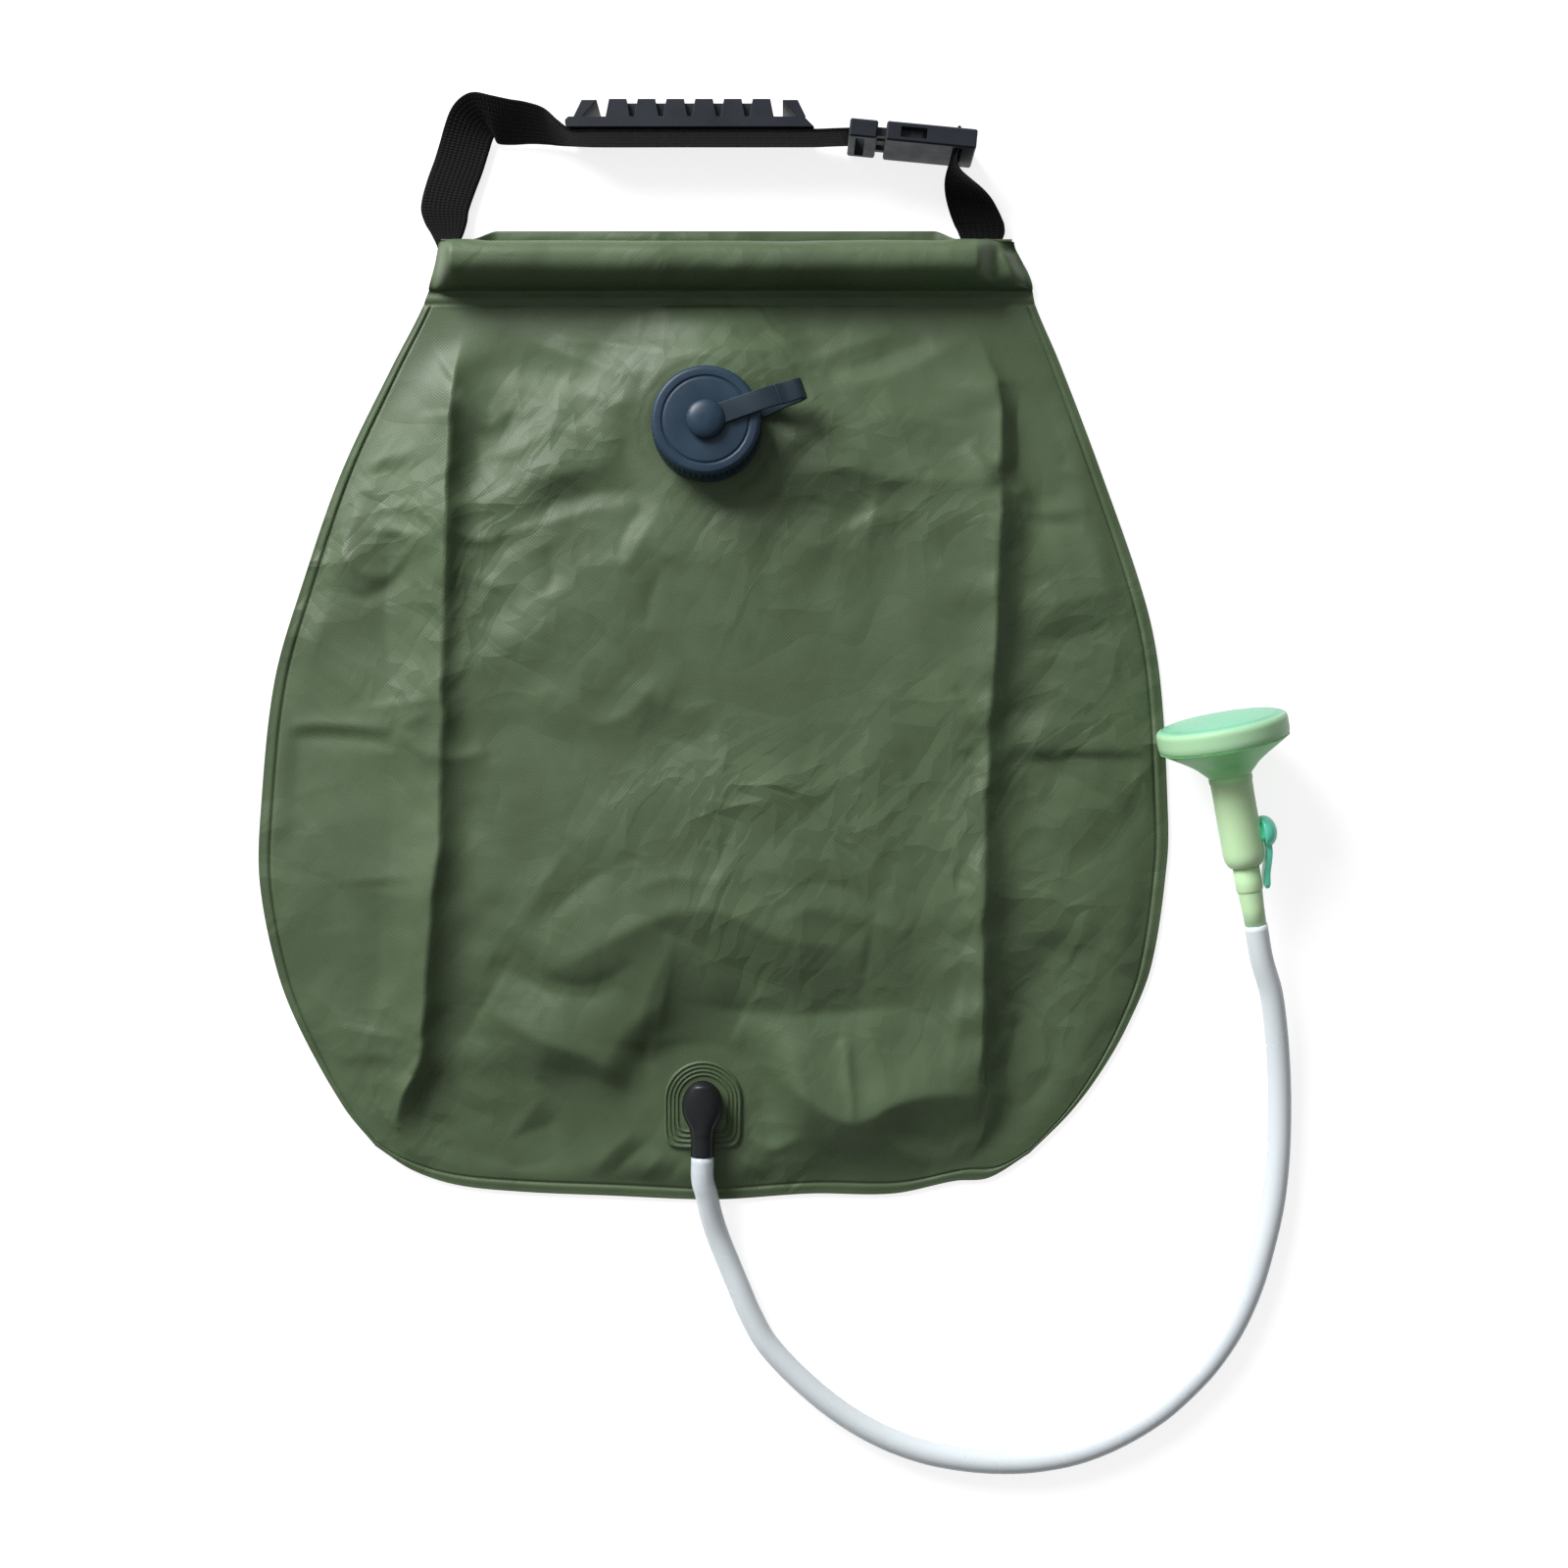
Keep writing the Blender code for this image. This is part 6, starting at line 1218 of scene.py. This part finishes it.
# Handle webbing, left side and under the grip
# One length of black webbing comes out of the sleeve's left corner, sweeps round the corner
# fold without a cut, leans up on its edge and runs under the grip to the buckle.
corner_route = [
    (-0.1280, 0.2300, 0.0075, 0.7, 0.7, 0, 0.0080, 0.0050),
    (-0.1330, 0.2350, 0.0062, 0.9, 0.4, 0, 0.0100, 0.0042),
    (-0.1345, 0.2405, 0.0052, 1, 0.1, 0, 0.0130, 0.0034),
    (-0.1350, 0.2443, 0.0045, 1, 0, 0, 0.0165, 0.0028),
    (-0.1358, 0.2500, 0.0042, 1, 0.0, 0, 0.0215, 0.0021),
    (-0.1363, 0.2570, 0.0040, 1, -0.05, 0, 0.0245, 0.0018),
    (-0.1335, 0.2680, 0.0034, 0.98, -0.17, 0),
    (-0.1296, 0.2790, 0.0030, 0.966, -0.24, 0),
    (-0.1264, 0.2890, 0.0034, 0.98, -0.16, -0.04),
    (-0.1240, 0.2960, 0.0044, 0.97, -0.20, -0.10),
    (-0.1208, 0.3015, 0.0064, 0.82, -0.50, -0.26),
    (-0.1162, 0.3032, 0.0088, 0.45, -0.72, -0.52),
    (-0.1105, 0.3005, 0.0104, 0.10, -0.76, -0.64),
    (-0.1020, 0.2990, 0.0110, 0, -0.66, -0.75),
    (-0.0930, 0.2982, 0.0118, 0, -0.55, -0.83),
    (-0.0840, 0.2962, 0.0128, 0, -0.42, -0.90),
    (-0.0770, 0.2926, 0.0137, 0, -0.18, -0.98),
    (-0.0705, 0.2901, 0.0143, 0, 0, -1),
    (-0.0600, 0.2897, 0.0145, 0, 0, -1),
    (-0.0200, 0.2897, 0.0145, 0, 0, -1),
    (0.0300, 0.2897, 0.0145, 0, 0, -1),
    (0.0520, 0.2897, 0.0147, 0, 0, -1),
    (0.0600, 0.2897, 0.0156, 0, 0, -1),
    (0.0690, 0.2897, 0.0165, 0, 0, -1),
]
left_webbing = webbing_strip("handle_webbing", corner_route, 300)
dress(left_webbing, webbing, None, "webbing_black", "handle_strap")
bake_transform(left_webbing)


# Grip and buckle
# Firm blue-grey mouldings. The grip is a plate with six blocks over the webbing and a hook at
# each end. The side-release buckle has a plug with two prongs and a hollow socket.
def eased_copy(name, solid, radius):
    """A solid's own shape with its loose triangles joined, its flats merged and its edges rounded."""
    shape = bmesh.new()
    shape.from_mesh(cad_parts[solid].data)
    bmesh.ops.remove_doubles(shape, verts=shape.verts, dist=0.000002)
    bmesh.ops.dissolve_limit(shape, angle_limit=math.radians(1.0), verts=shape.verts, edges=shape.edges)
    mesh = bpy.data.meshes.new(name)
    shape.to_mesh(mesh)
    shape.free()
    piece = bpy.data.objects.new(name, mesh)
    bpy.context.collection.objects.link(piece)
    rounding = piece.modifiers.new("rounding", "BEVEL")
    rounding.width = radius
    rounding.segments = 3
    rounding.limit_method = "ANGLE"
    rounding.angle_limit = math.radians(30)
    rounding.use_clamp_overlap = True
    rounding.harden_normals = True
    return piece


grip_grey = moulding("grip_plastic", (0.009, 0.013, 0.021), 0.48, Specular_IOR_Level=0.35)
for name, solid, radius, body in (
    ("grip_block", "grip", 0.0007, "handle"),
    ("buckle_male", "buckle_plug", 0.0004, "handle"),
    ("buckle_female", "buckle_socket", 0.0004, "buckle_socket"),
):
    dress(eased_copy(name, solid, radius), grip_grey, body, "grip_grey", solid)


# Handle webbing, right side
# The same webbing leaves the socket's slot, lies down as it comes back to the bag, and goes
# into the sleeve's right corner.
RIGHT_CORNER = (0.1352, 0.2490, 0.0048, 1, 0.05, 0, 0.0252, 0.0018)
right_route = [
    (0.1231, 0.2911, 0.0165, 0, 0, -1),
    (0.1225, 0.2850, 0.0165, 0, 0, -1),
    (0.1219, 0.2788, 0.0163, 0.05, 0, -1),
    (0.1240, 0.2730, 0.0136, 0.48, 0.04, -0.88),
    (0.1268, 0.2670, 0.0102, 0.80, 0.08, -0.58),
    (0.1298, 0.2610, 0.0076, 0.94, 0.09, -0.30),
    (0.1330, 0.2540, 0.0056, 0.99, 0.08, -0.10),
    RIGHT_CORNER,
]
corner_out = [
    RIGHT_CORNER,
    (0.1362, 0.2455, 0.0045, 1, 0.0, 0, 0.0240, 0.0019),
    (0.1364, 0.2420, 0.0048, 1, 0.0, 0, 0.0215, 0.0022),
    (0.1352, 0.2370, 0.0056, 0.95, -0.3, 0, 0.0150, 0.0032),
    (0.1300, 0.2310, 0.0070, 0.7, -0.7, 0, 0.0085, 0.0048),
]
right_webbing = webbing_strip("buckle_webbing", right_route, 90)
dress(right_webbing, webbing, None, "webbing_black", "strap_right_upper", "strap_right_lower")
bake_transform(right_webbing)
corner_webbing = webbing_strip("corner_webbing", corner_out, 50)
dress(corner_webbing, webbing, None, "webbing_black")
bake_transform(corner_webbing)


# Ground and light
# A plain pale sheet on the ground, which also looks white to the camera. One broad lamp beyond
# the handle and to the left rakes over the folds, and a pale room, brighter on that side, fills in.
FLOOR_HALF = 6
FLOOR_Z = -0.0002
GROUND_GLOW = 0.80
LAMP_WATTS = 108.0
LAMP_WIDTH = 1.5
LAMP_AT = (-1.44, 1.90, 1.28)
LAMP_TILT, LAMP_TURN = math.radians(-61.8), math.radians(37)
LAMP_SIDE = (-0.50, 0.62, 0.60)


def pale_ground():
    """Pale paper that gives off some light of its own towards the camera."""
    material, tree, shader = finish("pale_ground", (0.42, 0.42, 0.42), 0.95)
    path = tree.nodes.new("ShaderNodeLightPath")
    seen = worked(tree, "MAXIMUM", path.outputs["Is Camera Ray"], path.outputs["Is Transmission Ray"])
    seen = worked(tree, "MAXIMUM", seen, path.outputs["Is Glossy Ray"])
    glow = worked(tree, "MULTIPLY", seen, GROUND_GLOW)
    shader.inputs["Emission Color"].default_value = (1, 1, 1, 1)
    tree.links.new(glow, shader.inputs["Emission Strength"])
    return material


floor_line = np.linspace(-FLOOR_HALF, FLOOR_HALF, 5)
ground = surface("ground", places(floor_line, floor_line[:, None], FLOOR_Z), facing=(0, 0, 1))
ground.data.materials.append(pale_ground())

lamp = bpy.data.lights.new("window", "AREA")
lamp.shape = "DISK"
lamp.size = LAMP_WIDTH
lamp.energy = LAMP_WATTS
window = bpy.data.objects.new("window", lamp)
window.location = LAMP_AT
window.rotation_euler = (LAMP_TILT, 0, LAMP_TURN)
bpy.context.collection.objects.link(window)

room = bpy.data.worlds.new("room")
room.use_nodes = True
sky = room.node_tree
toward = measured(sky, "DOT_PRODUCT", node(sky, "TexCoord"), LAMP_SIDE)
level = ranged(sky, toward, 0.04, 0.40, -0.5, 0.9)
rays = sky.nodes.new("ShaderNodeLightPath")
for ray in ("Is Camera Ray", "Is Transmission Ray"):
    level = worked(sky, "MAXIMUM", level, rays.outputs[ray])
sky.nodes["Background"].inputs["Color"].default_value = (1, 1, 1, 1)
sky.links.new(level, sky.nodes["Background"].inputs["Strength"])
bpy.context.scene.world = room
bpy.context.scene.view_settings.view_transform = "Standard"
